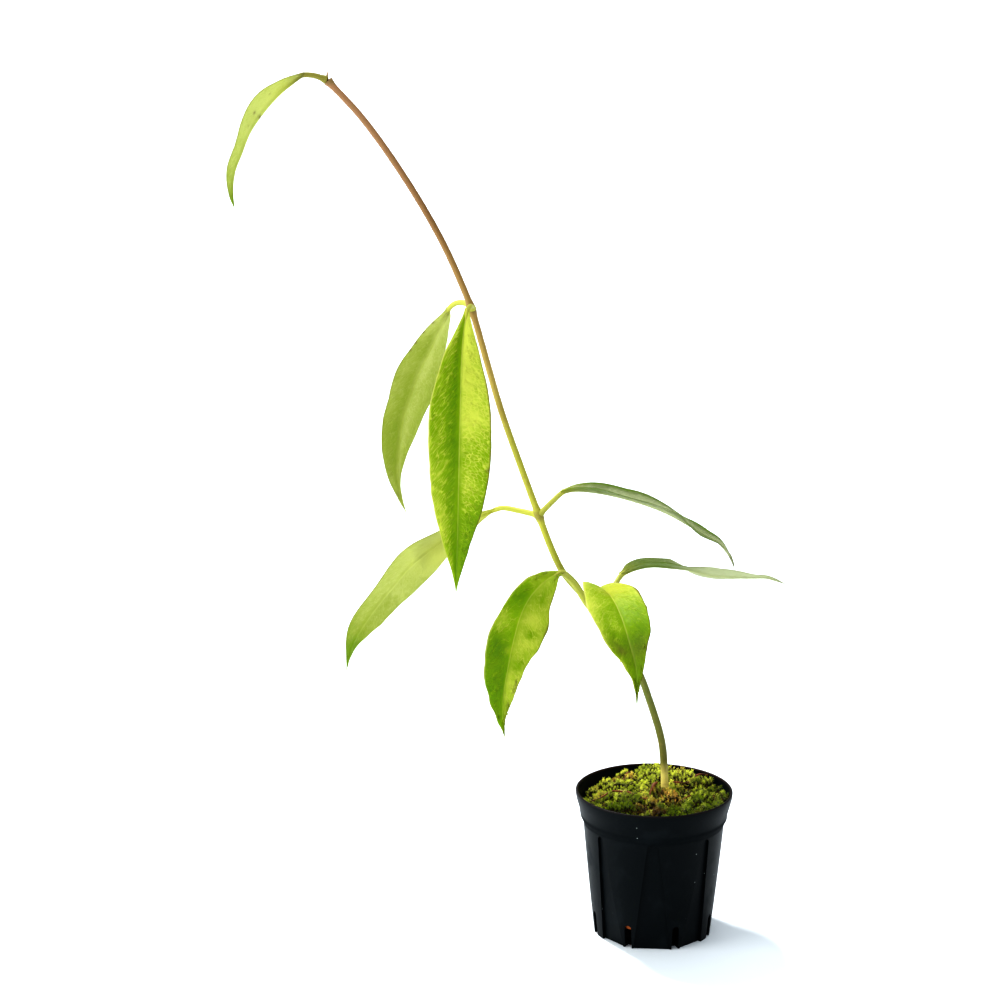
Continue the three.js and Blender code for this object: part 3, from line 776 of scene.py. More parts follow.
draw = random.Random(11)
kinds = [shoot_mesh(draw) for _ in range(SHOOT_KINDS)]
shoots = bmesh.new()
golden = math.pi * (3 - math.sqrt(5))
for i in range(SHOOT_COUNT):
    ring = (MOSS_RADIUS - SHOOT_EDGE_MARGIN) * math.sqrt((i + 0.5) / SHOOT_COUNT)
    x = ring * math.cos(i * golden) + draw.uniform(-SHOOT_JITTER, SHOOT_JITTER)
    y = ring * math.sin(i * golden) + draw.uniform(-SHOOT_JITTER, SHOOT_JITTER)
    inside, middle, chance = tuft_at(x, y)
    kind = draw.choice(kinds)
    size = draw.uniform(*SHOOT_SIZES) * mix(0.65, 1.15, inside)
    from_middle = Vector((x, y)) - middle
    heading = math.atan2(from_middle.x, -from_middle.y) + draw.uniform(-STRAY_HEADING, STRAY_HEADING)
    lean = math.radians(SHOOT_LEAN * (1 - inside) + draw.uniform(0, STRAY_LEAN))
    age = moss_age(x, y, chance, draw)
    # Painted light: shoots at the back are painted brighter and those at the front and on the right
    # deeper, as the light falls; the tuft's draw and the random share are their own tone.
    lit = 0.35 * eased(-4, 22, y) - 0.6 * eased(0, -22, y) - 0.3 * eased(14, 32, x)
    bright = min(max(chance.y + lit + draw.uniform(-0.4, 0.4), 0.0), 1.0)
    by_stem = (Vector((x, y)) - STEM_FOOT).length
    if math.hypot(x, y) > MOSS_RADIUS - SHOOT_RIM_GAP or by_stem < STEM_CLEARANCE:
        continue
    level = moss_level(x, y) - SHOOT_HEIGHT * 0.5 - BED_DROP * 0.4
    place = (Matrix.Translation(Vector((x, y, level)) * MM) @ Matrix.Rotation(heading, 4, "Z")
             @ Matrix.Rotation(lean, 4, "X") @ Matrix.Scale(size, 4))
    kind.attributes["age"].data.foreach_set("value", [age] * len(kind.vertices))
    kind.attributes["bright"].data.foreach_set("value", [bright] * len(kind.vertices))
    kind.transform(place)
    shoots.from_mesh(kind)
    kind.transform(place.inverted())
moss = new_object("moss_shoots", shoots, [shoots_material()])
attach(moss, "root")
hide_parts("moss_carpet")
print("moss shoot triangles:", sum(len(face.vertices) - 2 for face in moss.data.polygons))

# %% [markdown]
# Dead brown runners lie across the moss, and a reddish flake of bark leans on the stem. Each is a
# thin rolled tube that dips in and out of the tufts, all in one piece.

# %% Brown runners
RUNNERS = [
    (0.5, [(-31, -6, 0.2), (-26, -2.8, 1.2), (-20, 1.3, 1.0), (-16, 2.7, 1.3),
           (-12, -1.5, 1.0), (-7, -5.6, 0.8), (-3.5, -8, 0.2)]),
    (0.4, [(-14, 17, 0.4), (-10.5, 22, 1.4), (-6.5, 20.5, 0.5)]),
    (0.55, [(9.5, 12, 0.5), (12.5, 12.5, 1.1), (17, 15, 1.2), (23.5, 21, 1.2), (29.5, 24, 0.5)]),
    (0.35, [(12, -4, 0.3), (17, 0, 1.1), (21.5, 2, 0.8), (24.5, 0.5, 0.2)]),
    (0.95, [(-1.8, 1.5, 0.2), (0.2, 5.2, 1.2), (2.2, 9.5, 1.8)]),
]


def runner_material():
    paint = Paint("dead_runner")
    cloud = paint.ramp(paint.speckle(300, detail=4.0), 0.35, 0.65)
    base = paint.mixed(cloud, (0.05, 0.016, 0.006), (0.24, 0.075, 0.018))
    normal = paint.bump(paint.speckle(1400), 0.6, 0.0003)
    return paint.finish(paint.skin(base, 0.6, 0.3, Normal=normal))


runner_mesh = bmesh.new()
for thickness, points in RUNNERS:
    lifted = [(x, y, moss_level(x, y) + lift) for x, y, lift in points]
    rolled_tube(runner_mesh, Route(lifted),
                lambda share, angle: thickness * (1 - 0.45 * abs(2 * share - 1)), 10, 40)
runners = new_object("dead_runners", runner_mesh, [runner_material()])
runners.data.shade_smooth()
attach(runners, "root")
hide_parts("moss_carpet")
print("runners:", len(RUNNERS))

# %% [markdown]
# The stem grew in jointed stretches. It is green and firm at the foot, swells at each node where
# a pair of leaves left, and turns tan and then reddish towards the young tip. One rolled tube
# gives the whole length, so no stretch shows a joint. The dry stub of a fallen leaf and the tiny
# resting bud are short tubes that grow out of it in the same mesh.

# %% Stem
STEM_ROUTE = [
    (5, 5, 43), (5.5, 5, 56), (5.5, 5, 69), (5, 5, 80), (3.5, 4.5, 93), (-2.5, 4, 113),
    (-8.5, 3.5, 128.5), (-16.5, 4, 140), (-26, 5, 154), (-33.5, 6, 163), (-39, 6.5, 169),
    (-44.5, 7, 176), (-50.5, 7.5, 189), (-55.5, 8, 202.5), (-63, 9, 223), (-73, 10, 251.5),
    (-79.5, 10, 274), (-86.5, 10, 298.5), (-90.5, 10.5, 309), (-100.5, 11, 331),
    (-116.5, 11, 358.5), (-135.5, 10.5, 385.5), (-151.5, 10, 403),
]
STEM_NODES = {
    "first": (-16.5, 4, 140), "second": (-26, 5, 154), "third": (-55.5, 8, 202.5),
    "fourth": (-86.5, 10, 299.5), "fifth": (-151.5, 10, 403),
}
STEM_FOOT_RADIUS = 2.0
STEM_MIDDLE_RADIUS = 1.5
STEM_SIDES = 20
STEM_ROWS = 900
NODE_SWELL = 0.7
NODE_REACH = 3.0
STUB_ROUTE = [(-16.5, 4, 140), (-16.4, 1, 137.5), (-16, -0.5, 133.2)]
STUB_RADII = (1.5, 1.1)
BUD_ROUTE = [(-151.5, 10, 403), (-151.4, 10, 405.5), (-151, 10, 407)]
BUD_RADII = (0.7, 0.15)
BLOTCHED_FROM = (0.245, 0.249)
BLOTCHED_TO = (0.254, 0.260)


def share_nearest(route, point):
    steps = 1200
    return min(range(steps + 1),
               key=lambda i: (route.at(i / steps) - Vector(point)).length) / steps


stem_route = Route(STEM_ROUTE)
node_shares = [share_nearest(stem_route, point) for point in STEM_NODES.values()]


def stem_radius(share, angle):
    taper = STEM_MIDDLE_RADIUS + (STEM_FOOT_RADIUS - STEM_MIDDLE_RADIUS) * (1 - share) ** 4
    swell = sum(NODE_SWELL * math.exp(-((share - node) * stem_route.length / NODE_REACH) ** 2)
                for node in node_shares)
    here = Vector((math.cos(angle), math.sin(angle), share * stem_route.length / 4))
    rib = 0.05 * noise.noise(here * 1.3) + 0.03 * noise.noise(here * 4)
    return taper + swell + rib


def narrowing(radii):
    return lambda share, angle: mix(radii[0], radii[1], share)


def stem_material():
    paint = Paint("stem_skin")
    height = paint.split(paint.places())[2]
    part = paint.node("MapRange", {}, {"Value": height, "From Min": 0.06, "From Max": 0.41})
    base = paint.node("ValToRGB", {"stops": [
        (0.0, (0.62, 0.50, 0.13)), (0.045, (0.62, 0.53, 0.15)),
        (0.064, (0.14, 0.13, 0.022)), (0.16, (0.12, 0.135, 0.020)),
        (0.24, (0.15, 0.15, 0.022)), (0.33, (0.28, 0.29, 0.032)),
        (0.38, (0.38, 0.37, 0.045)), (0.50, (0.33, 0.31, 0.042)),
        (0.60, (0.38, 0.27, 0.070)), (0.68, (0.29, 0.18, 0.050)),
        (0.80, (0.20, 0.105, 0.034)), (1.0, (0.34, 0.18, 0.085)),
    ]}, {"Fac": part})
    blotch = paint.ramp(paint.speckle(150, detail=4.0), 0.60, 0.70)
    band = paint.ramp(height, *BLOTCHED_FROM) * (1 - paint.ramp(height, *BLOTCHED_TO))
    base = paint.mixed((0.25 + blotch) * band * 0.8, base, (0.16, 0.06, 0.02))
    streak = paint.speckle(420, detail=3.0)
    base = paint.mixed(paint.ramp(streak, 0.5, 0.72) * 0.35, base, (0.24, 0.17, 0.05))
    ring = sum(1 - paint.ramp((height - node[2] * MM).math("ABSOLUTE"), 0.0006, 0.0030)
               for node in STEM_NODES.values())
    base = paint.mixed(ring.clamped() * 0.6, base, (0.17, 0.13, 0.035))
    base = paint.mixed(paint.layer("stub"), base, (0.46, 0.46, 0.07))
    normal = paint.bump(paint.speckle(1500), 0.25, 0.0002)
    return paint.finish(paint.skin(base, 0.5, 0.3, Normal=normal))


stem_mesh = bmesh.new()
rolled_tube(stem_mesh, stem_route, stem_radius, STEM_SIDES, STEM_ROWS)
stem_mesh.verts.layers.float.new("stub")
for vert in rolled_tube(stem_mesh, Route(STUB_ROUTE), narrowing(STUB_RADII), 14, 24):
    vert[stem_mesh.verts.layers.float["stub"]] = 1.0
rolled_tube(stem_mesh, Route(BUD_ROUTE), narrowing(BUD_RADII), 12, 12)
stem = new_object("jointed_stem", stem_mesh, [stem_material()])
stem.data.shade_smooth()
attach(stem, "root")
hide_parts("stem")
print("stem", round(stem_route.length), "mm, nodes at", [round(share, 2) for share in node_shares])

# %% [markdown]
# Each leaf is a lance-shaped blade on its own stalk. Two strips of wide triangles would give the
# outline, but this leaf is known by its skin: a fine embossed net with side veins through it.
# So a dense grid is laid along the midrib, and each of its points is set by the same formula as
# the solid blade, plus the relief.

# %% Leaf table
BLADE_STATIONS = [0, 0.08, 0.2, 0.35, 0.5, 0.65, 0.8, 0.92, 1]
BLADE_BASE_HALF_WIDTH = 1.2
BLADE_TIP_HALF_WIDTH = 0.12
MARGIN_WAVE = 0.5
MARGIN_WAVES = 2.5
LEAVES = [
    {
        "name": "leaf_youngest_left", "node": "fifth", "stalk": [(-157, 8, 405)],
        "midrib": [(-162, 6, 406), (-166, 2, 403), (-172, -3, 398), (-179, -8, 390),
                   (-185, -12, 381), (-188.5, -15, 372), (-191.5, -17, 364), (-192.5, -18, 355),
                   (-191.5, -18, 347.5)],
        "left": [4, 8, 10.5, 10, 8, 5.5, 2], "right": [5, 9, 11.5, 10, 8, 6, 2.5],
        "pose": [(0, 0, 0.1, 1, 22), (0.3, -0.6, 0.2, 0.8, 22), (0.55, -0.9, 0.05, 0.45, 22),
                 (1, -1, -0.15, 0.1, 22)],
    },
    {
        "name": "leaf_fourth_node_back", "node": "fourth",
        "stalk": [(-89.5, 14, 301.5), (-94, 19, 301)],
        "midrib": [(-97.5, 24, 298.5), (-100, 29, 291.5), (-104, 33, 283.5), (-108.5, 36, 274),
                   (-113.5, 38.5, 263), (-117, 40.5, 252.5), (-120.5, 42, 242.5), (-122, 43, 232.5),
                   (-123, 44, 222.5), (-123, 44, 212), (-121.5, 44, 202), (-119, 44, 194.5)],
        "left": [4.5, 10.5, 15, 15.5, 12.5, 4, 1.5], "right": [5.5, 9.5, 11.5, 11, 10, 6, 2],
        "pose": [(0, -0.5, 0.5, 0.7, 8), (0.3, -0.6, 0.8, 0.3, 8), (0.6, -0.65, 0.8, 0.1, 8),
                 (0.8, -0.65, 0.7, 0.1, 16), (1, -1, 0.1, 0.1, 16)],
    },
    {
        "name": "leaf_fourth_node_front", "node": "fourth",
        "stalk": [(-87, 6, 301), (-87.5, 2, 301.5)],
        "midrib": [(-88.5, -1, 301), (-90, -9, 292.5), (-91, -16, 280), (-91.5, -21, 262.5),
                   (-92, -24, 242.5), (-92.5, -24, 221.5), (-93, -22, 202.5), (-93.5, -20, 188),
                   (-94, -16, 170.5)],
        "left": [3.2, 9, 14, 14, 12, 7, 2], "right": [4, 9.5, 14.2, 15, 12.5, 6.5, 2.2],
        "pose": [(0, 0, -0.8, 0.6, 14), (0.4, -0.05, -1, 0.15, 14), (1, 0, -1, 0, 14)],
    },
    {
        "name": "leaf_third_node_left", "node": "third",
        "stalk": [(-64.5, 13, 203.5), (-72.5, 17, 204)],
        "midrib": [(-75, 18.5, 203.5), (-82, 20.5, 200), (-90.5, 22.5, 194.5), (-102, 24.5, 186),
                   (-117, 26, 173.5), (-126.5, 27, 162), (-135.5, 27.5, 150.5),
                   (-141.5, 27.5, 141.5), (-145.5, 27, 133.5), (-148.5, 26, 120.5)],
        "left": [4.2, 8.8, 13, 15.5, 12.5, 8.5, 3], "right": [5.8, 11.2, 15, 14, 12, 10, 3],
        "pose": [(0, -0.2, 0.6, 0.85, -8), (0.2, -0.5, 0.65, 0.6, -8), (0.4, -0.58, 0.7, 0.42, -8),
                 (0.75, -0.65, 0.7, 0.3, -8), (1, -0.9, 0.4, 0.1, 0)],
    },
    {
        "name": "leaf_third_node_right", "node": "third", "stalk": [(-49.5, 5, 209.5)],
        "midrib": [(-45, 3, 215), (-39, 1, 216.5), (-27.5, -4, 216.5), (-13, -9, 214),
                   (1.5, -13, 209.5), (12.5, -16, 204), (20, -18, 199.5), (26.5, -19, 196),
                   (31.5, -20, 190), (34.5, -20, 182.5)],
        "left": [4, 8.5, 11.5, 12, 10, 4.8, 0.6],
        "pose": [(0, -0.4, 0.05, 1, 28), (0.3, 0, 0.11, 1, 12), (0.62, 0.25, 0.16, 1, 8),
                 (0.74, 0.35, -0.08, 1, 3), (0.86, 0.6, -0.15, 0.8, 6), (1, 1, -0.2, 0.2, 8)],
    },
    {
        "name": "leaf_second_node_front", "node": "second",
        "stalk": [(-32.5, -2, 162), (-39.5, -7, 174)],
        "midrib": [(-44.5, -13, 180.5), (-51, -22, 180), (-56.5, -29, 177), (-61, -34, 172.5),
                   (-64.5, -38, 166), (-67.5, -41.5, 156), (-70, -43.5, 144), (-72, -44, 132),
                   (-72.5, -43.5, 121), (-71.5, -42, 110)],
        "left": [2.8, 6, 10.5, 14, 12, 7, 2], "right": [3, 8, 13, 12.5, 7.5, 4, 1],
        "pose": [(0, 0, -0.35, 0.9, 14), (0.22, 0.55, -0.55, 0.55, 14),
                 (0.4, 0.45, -0.75, 0.35, 14), (0.6, 0.25, -0.9, 0.2, 14), (1, 0.1, -1, 0.1, 14)],
    },
    {
        "name": "leaf_first_node_front", "node": "first",
        "stalk": [(-20, -4, 151), (-24, -10, 164)],
        "midrib": [(-26.5, -16, 171.5), (-28, -24, 176), (-27.5, -34, 178.5), (-25.5, -44, 179),
                   (-23, -54, 177.5), (-21, -62, 174.5), (-19, -70, 170), (-17, -76, 163.5),
                   (-15, -80, 156.5), (-14, -82, 148), (-14, -82, 138)],
        "left": [5, 8.5, 12.5, 14.5, 11.5, 5.5, 1.1], "right": [4, 7, 10.5, 12, 11, 4.3, 0.8],
        "pose": [(0, 0, 0.3, 1, 20), (0.25, 0, -0.1, 1, 16), (0.5, 0.05, -0.5, 0.8, 12),
                 (0.75, 0, -0.9, 0.4, 12), (1, 0, -1, 0.1, 12)],
    },
    {
        "name": "leaf_second_node_back", "node": "second",
        "stalk": [(-21.5, 12, 160.5), (-19, 17, 166)],
        "midrib": [(-16, 23, 170), (-9, 28, 171.7), (-0.5, 33, 172), (9.5, 37, 170.3),
                   (19, 41, 168), (29, 44.5, 164.5), (39, 47, 163), (50, 50, 161.7), (58, 52, 161),
                   (68, 54.5, 157)],
        "left": [4.5, 7.5, 10, 12, 11.5, 6.5, 1.5],
        "pose": [(0, -0.5, -0.1, 1, 35), (0.2, 0, 0.05, 1, 19), (0.36, 0.05, 0.09, 1, 12),
                 (0.5, 0.1, 0.42, 1, 5), (0.65, 0.1, 0.47, 1, 2), (1, 0.4, 0.5, 0.7, 0)],
    },
]
print("leaves:", [leaf["name"] for leaf in LEAVES])

# %% [markdown]
# The relief is worked out in the leaf's own directions. Side veins leave the midrib slanting
# towards the tip, and the net's cells are drawn out along them. The cells are too fine to model,
# so the mesh carries only the veins and a soft quilting, and each point keeps its place in the
# net for the paint. The width table is eased by a cubic, so the outline has no corners.

# %% Blade shape
COLUMN_GATHER = 1.25
SIDE_VEIN_SPACING = 7.5
SIDE_VEIN_WIDTH = 0.6
MIDRIB_GROOVE_WIDTH = 0.7
BLADE_THICKNESS = 0.5
KEEL_THICKNESS = 1.3
KEEL_HALF_WIDTH = 0.75
MARGIN_SHARE = 0.4
TONE_STATIONS = [0, 0.25, 0.5, 0.75, 1]
ACROSS_STATIONS = [-1, -0.6, -0.25, 0, 0.25, 0.6, 1]


def between(stations, values, at):
    """A value between table rows, eased so that the outline stays smooth."""
    last = len(stations) - 1
    row = min(max(bisect.bisect_left(stations, at) - 1, 0), last - 1)

    def slope(i):
        if i in (0, last):
            return 0
        return (values[i + 1] - values[i - 1]) / (stations[i + 1] - stations[i - 1])

    span = stations[row + 1] - stations[row]
    t = (at - stations[row]) / span
    return ((2 * t ** 3 - 3 * t ** 2 + 1) * values[row]
            + (t ** 3 - 2 * t ** 2 + t) * span * slope(row)
            + (3 * t ** 2 - 2 * t ** 3) * values[row + 1]
            + (t ** 3 - t ** 2) * span * slope(row + 1))


def pose_at(pose, along):
    row = 0
    while row < len(pose) - 2 and along > pose[row + 1][0]:
        row += 1
    start, end = pose[row], pose[row + 1]
    part = (along - start[0]) / (end[0] - start[0])
    x, y, z, fold = (mix(a, b, part) for a, b in zip(start[1:], end[1:]))
    return Vector((x, y, z)), math.radians(fold)


def relief_at(leaf, side, out_mm, along_mm, half_width):
    """Height of the upper skin in millimetres, its place in the net, and how much relief shows."""
    slant, curve, cell_across, cell_along = leaf["net"][0 if side < 0 else 1]
    past = along_mm - slant * out_mm - curve * out_mm * out_mm / max(half_width, 4)
    out_along = out_mm * math.hypot(1, slant)
    wobble = noise.noise(Vector((past * 0.12, out_along * 0.2, 7.0 * side)))
    veins = past / SIDE_VEIN_SPACING + 0.5 * wobble
    vein = math.exp(-((veins - round(veins)) * SIDE_VEIN_SPACING / SIDE_VEIN_WIDTH) ** 2)
    net = Vector((past / cell_across, out_along / cell_along, 11.0 * math.copysign(1, side)))
    quilt = noise.noise(net * 0.7)
    rib = math.exp(-(out_mm / MIDRIB_GROOVE_WIDTH) ** 2)
    fade = eased(0.4, 3.0, out_mm) * eased(0.0, 1.5, half_width - out_mm)
    height = leaf["puff"] * (0.3 + 0.45 * quilt - 0.5 * vein) * fade - 0.3 * rib
    return height, (*net.xyz, veins), fade


print("side veins every", SIDE_VEIN_SPACING, "mm")

# %% [markdown]
# A blade is closed by giving the grid a thickness downwards. It is thickest under the midrib,
# where it forms a keel, and thinnest at the margin. The points of the new side are marked, so
# that the paint can be paler underneath. The stalk runs into the keel's thick end, in one mesh.

# %% Leaf maker
STALK_SIDES = 12
STALK_DROP = 0.35
STALK_REACH = 9.0
STALK_FLARE = 0.7
FLARE_REACH = 2.2
STALK_ROW_LENGTH = 0.6


def marked(marks, side, along, length, half_width):
    """How strongly a list of round marks shows at a place. A mark has its place along and
    across the blade, its radius in millimetres and its strength."""
    return sum(strength * math.exp(-(math.hypot((along - mark_along) * length,
                                                (side - mark_side) * half_width) / radius) ** 2)
               for mark_along, mark_side, radius, strength in marks)


def blade_mesh(leaf, midrib):
    """The upper skin of a blade, with the layers that its paint reads."""
    columns, cell_length = leaf["cells"]
    rows = round(midrib.length / cell_length)
    left_tone_and_light = leaf["left_tone_and_light"]
    right_tone_and_light = leaf.get("right_tone_and_light", left_tone_and_light)
    widths = [[BLADE_BASE_HALF_WIDTH, *half, BLADE_TIP_HALF_WIDTH]
              for half in (leaf["left"], leaf.get("right", leaf["left"]))]
    bm = bmesh.new()
    skin = bm.verts.layers.float_vector.new("skin")
    net = bm.verts.layers.float_vector.new("net")
    veins = bm.verts.layers.float.new("veins")
    marks = bm.verts.layers.float_color.new("marks")
    tone = bm.verts.layers.float.new("tone")
    thick = bm.verts.layers.deform.verify()
    made = bmesh.ops.create_grid(bm, x_segments=columns, y_segments=rows, size=0.5)
    for vert in made["verts"]:
        out = abs(2 * vert.co.x) ** COLUMN_GATHER
        side = -math.copysign(out, vert.co.x)
        along = vert.co.y + 0.5
        heading = midrib.heading(along)
        facing, fold = pose_at(leaf["pose"], along)
        normal = square_to(heading, facing)
        across = normal.cross(heading)
        half_width = between(BLADE_STATIONS, widths[0 if side < 0 else 1], along)
        along_mm = along * midrib.length
        bumps = noise.noise(Vector((along_mm * 0.16, side * 9, 1.7)))
        half_width += leaf["scallop"] * bumps * eased(0, 0.12, along) * eased(0, 0.12, 1 - along)
        reach = out * half_width
        height, place, fade = relief_at(leaf, side, reach, along_mm, half_width)
        wave = (MARGIN_WAVE * out * out * math.sin(math.pi * along)
                * math.sin(2 * math.pi * (MARGIN_WAVES * along + 0.25 * side)))
        lift = reach * math.sin(fold) + wave + height + BLADE_THICKNESS / 2
        spread = math.copysign(reach * math.cos(fold), side)
        vert.co = (midrib.at(along) + across * spread + normal * lift) * MM
        vert[skin] = (math.copysign(reach, side), along, out)
        vert[net] = place[:3]
        vert[veins] = place[3]
        yellow, brown, toned = (marked(leaf[kind], side, along, midrib.length, half_width)
                                for kind in ("yellow", "brown", "tone"))
        vert[marks] = (fade * leaf["shown"][0], fade * leaf["shown"][1], yellow, brown)
        # The tone is the leaf's own pigment plus painted light: the half tables paint halves that
        # face the light paler and shaded parts deeper.
        vert[tone] = toned + between(ACROSS_STATIONS, leaf["across_tone"], side) + mix(
            between(TONE_STATIONS, left_tone_and_light, along), between(TONE_STATIONS, right_tone_and_light, along),
            eased(-1.2, 1.2, math.copysign(reach, side)))
        keel = math.exp(-(reach / KEEL_HALF_WIDTH) ** 2) * (1 - 0.75 * along)
        edge = mix(1, MARGIN_SHARE, eased(0.8, 1.0, out)) * eased(-0.05, 0.1, 1 - along)
        vert[thick][0] = mix(BLADE_THICKNESS, KEEL_THICKNESS, keel) / KEEL_THICKNESS * edge
    return bm


def thickened(bm, name):
    """Gives the skin its thickness and marks the points of the new lower side."""
    count = len(bm.verts)
    sheet = new_object(name, bm, [])
    sheet.vertex_groups.new(name="thick")
    wall = sheet.modifiers.new("thickness", "SOLIDIFY")
    wall.thickness = KEEL_THICKNESS * MM
    wall.offset = -1
    wall.vertex_group = "thick"
    applied(sheet)
    under = sheet.data.attributes.new("under", "FLOAT", "POINT")
    under.data.foreach_set("value", [0.0] * count + [1.0] * (len(sheet.data.vertices) - count))
    closed = bmesh.new()
    closed.from_mesh(sheet.data)
    bpy.data.objects.remove(sheet)
    return closed


def stalk_points(leaf, midrib):
    """The stalk's points, and those where it tapers out under the blade."""
    points = [STEM_NODES[leaf["node"]], *leaf["stalk"]]
    for part in (0.1, 0.5, 1):
        along = part * STALK_REACH / midrib.length
        heading = midrib.heading(along)
        facing = pose_at(leaf["pose"], along)[0]
        normal = square_to(heading, facing)
        points.append(midrib.at(along) - normal * STALK_DROP)
    return points


def grow_leaf(leaf, material):
    midrib = Route(leaf["midrib"])
    bm = thickened(blade_mesh(leaf, midrib), leaf["name"])
    route = Route(stalk_points(leaf, midrib))
    blade_from = 1 - STALK_REACH / route.length

    def radius(share, angle):
        stalk = mix(*leaf["petiole"], eased(0, blade_from, share))
        flare = STALK_FLARE * math.exp(-(share * route.length / FLARE_REACH) ** 2)
        return (stalk + flare) * mix(1, 0.3, eased(blade_from, 1, share))

    bm.verts.layers.float.new("stalk")
    rows = round(route.length / STALK_ROW_LENGTH)
    tube = rolled_tube(bm, route, radius, STALK_SIDES, rows)
    stalk = bm.verts.layers.float["stalk"]
    marks = bm.verts.layers.float_color["marks"]
    for vert in tube:
        vert[stalk] = 1.0
        vert[marks] = (0, 0, *leaf["stalk_marks"])
    piece = new_object(leaf["name"] + "_skin", bm, [material])
    piece.data.shade_smooth()
    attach(piece, "root")
    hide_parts(leaf["name"])
    return piece


print("stalks reach", STALK_REACH, "mm under their blades")

# %% [markdown]
# A leaf this thin glows when the sun is behind it. The skin reflects a yellowish green, and the
# rest of the light goes through the flesh and comes out greener. So the shader is a mix of a
# weakly glossy skin and a translucent body. Net walls, side veins and the midrib are paler, since
# they hold less green; the long pale walls on the left half of the fourth node's front leaf are
# also painted highlights, where its quilting catches the light. Young leaves and undersides are
# paler than old upper faces. Halves that face the light are painted paler and shaded parts
# deeper, and the margins carry a painted highlight in pale tan on one side and a painted shade in
# deep brown on the other.

# %% Leaf paint
THROUGH = 0.5
WALL_HALF_WIDTH = (0.03, 0.15)
VEIN_HALF_WIDTH = (0.015, 0.06)


def leaf_material(name, skins, fleshes, margins, midrib):
    """A leaf's paint: three skin colours and three flesh colours, from deep green to pale, how
    much painted highlight in pale tan and painted shade in deep brown its left and right
    margins show, and how pale its midrib is."""
    paint = Paint(name)
    netted, veined, yellow = paint.split(paint.layer("marks", 0), "Color")
    brown = paint.layer("marks", 3).clamped()
    across, along, out = paint.split(paint.layer("skin", 1))
    below, stalk, toned, veins = (paint.layer(key) for key in ("under", "stalk", "tone", "veins"))
    net = paint.layer("net", 1)
    cells = paint.node("TexVoronoi", {"feature": "DISTANCE_TO_EDGE"}, {"Vector": net, "Scale": 1})
    wall = 1 - paint.ramp(cells, *WALL_HALF_WIDTH)
    wall = wall * (0.3 + 0.7 * paint.ramp(paint.speckle(0.9, detail=2.0, at=net), 0.4, 0.6))
    off_vein = 0.5 - (veins.math("FRACT") - 0.5).math("ABSOLUTE")
    vein = 1 - paint.ramp(off_vein, *VEIN_HALF_WIDTH)
    rib = (1 - paint.ramp(across.math("ABSOLUTE"), 0.12, 0.45)) * (1 - stalk) * midrib
    rib = rib * (1 - 0.7 * paint.ramp(along, 0.5, 0.95))
    edge = paint.ramp(out, 0.93, 0.985) * (1 - stalk)
    right = paint.ramp(across, -1.0, 1.0)
    # Painted highlight and shade: the blade's left margin is painted pale tan, partly its own colour
    # and partly the edge catching the light, and its right margin deep brown, the edge's shaded
    # side.
    cream_margin_highlight, painted_shade_margin = edge * (1 - right) * margins[0], edge * right * margins[1]
    cloud = paint.speckle(60, detail=4.0)
    mottle = paint.speckle(330, detail=3.0)
    # The tone is the leaf's own pigment plus painted light from its tables; the pale net walls are
    # partly painted highlights, where the quilting catches the light.
    tone = (toned + (cloud - 0.5) * 1.2 + (mottle - 0.5) * 0.8 + netted * (wall - 0.3)
            + veined * vein * 0.6 + 0.15 * below)
    base = paint.mixed((tone + 1).clamped(), skins[0], skins[1])
    base = paint.mixed(tone.clamped(), base, skins[2])
    base = paint.mixed(rib, base, (0.46, 0.48, 0.11))
    base = paint.mixed(stalk, base, (0.36, 0.37, 0.075))
    base = paint.mixed(yellow.clamped(), base, (0.52, 0.50, 0.05))
    base = paint.mixed(cream_margin_highlight, base, (0.55, 0.50, 0.20))
    base = paint.mixed((brown + painted_shade_margin).clamped(), base, (0.12, 0.065, 0.025))
    relief = netted * wall + veined * vein + 0.4 * paint.speckle(1800)
    normal = paint.bump(relief, 0.5, 0.0003)
    skin = paint.skin(base, 0.45, 0.13, Normal=normal)
    flesh = [paint.node("BsdfTranslucent", {}, {"Color": shade, "Normal": normal})
             for shade in fleshes]
    pale = (tone + 0.7 * rib + 0.7 * yellow + cream_margin_highlight).clamped()
    middle = paint.node("MixShader", {}, {0: (tone + 1).clamped(), 1: flesh[0], 2: flesh[1]})
    body = paint.node("MixShader", {}, {0: pale, 1: middle, 2: flesh[2]})
    through = THROUGH * (1 - 0.85 * stalk) * (1 - 0.8 * (brown + painted_shade_margin).clamped())
    return paint.finish(paint.node("MixShader", {}, {0: through, 1: skin, 2: body}))


LEAF_PAINTS = {
    "mature": leaf_material(
        "mature_leaf",
        [(0.12, 0.215, 0.006), (0.23, 0.33, 0.008), (0.53, 0.56, 0.10)],
        [(0.29, 0.48, 0.015), (0.41, 0.56, 0.03), (0.66, 0.72, 0.19)],
        (0.8, 0.7), 0.8,
    ),
    "young": leaf_material(
        "young_leaf",
        [(0.15, 0.215, 0.02), (0.23, 0.26, 0.055), (0.37, 0.39, 0.14)],
        [(0.44, 0.57, 0.12), (0.57, 0.64, 0.21), (0.71, 0.75, 0.38)],
        (0.0, 0.3), 0.3,
    ),
    "dusky": leaf_material(
        "dusky_leaf",
        [(0.11, 0.17, 0.018), (0.18, 0.21, 0.10), (0.40, 0.415, 0.27)],
        [(0.31, 0.42, 0.07), (0.41, 0.46, 0.23), (0.60, 0.64, 0.42)],
        (0.0, 0.5), 0.5,
    ),
}
PLAIN_NET = (0.62, 0.35, 1.5, 2.6)
PLAIN_LEAF = {
    "puff": 0.2, "cells": (44, 0.62), "net": (PLAIN_NET, PLAIN_NET), "petiole": (1.35, 1.2),
    "across_tone": [0, 0, 0, 0, 0, 0, 0], "shown": (0.4, 0.4), "scallop": 0.3,
    "stalk_marks": (0, 0), "yellow": [], "brown": [], "tone": [],
}
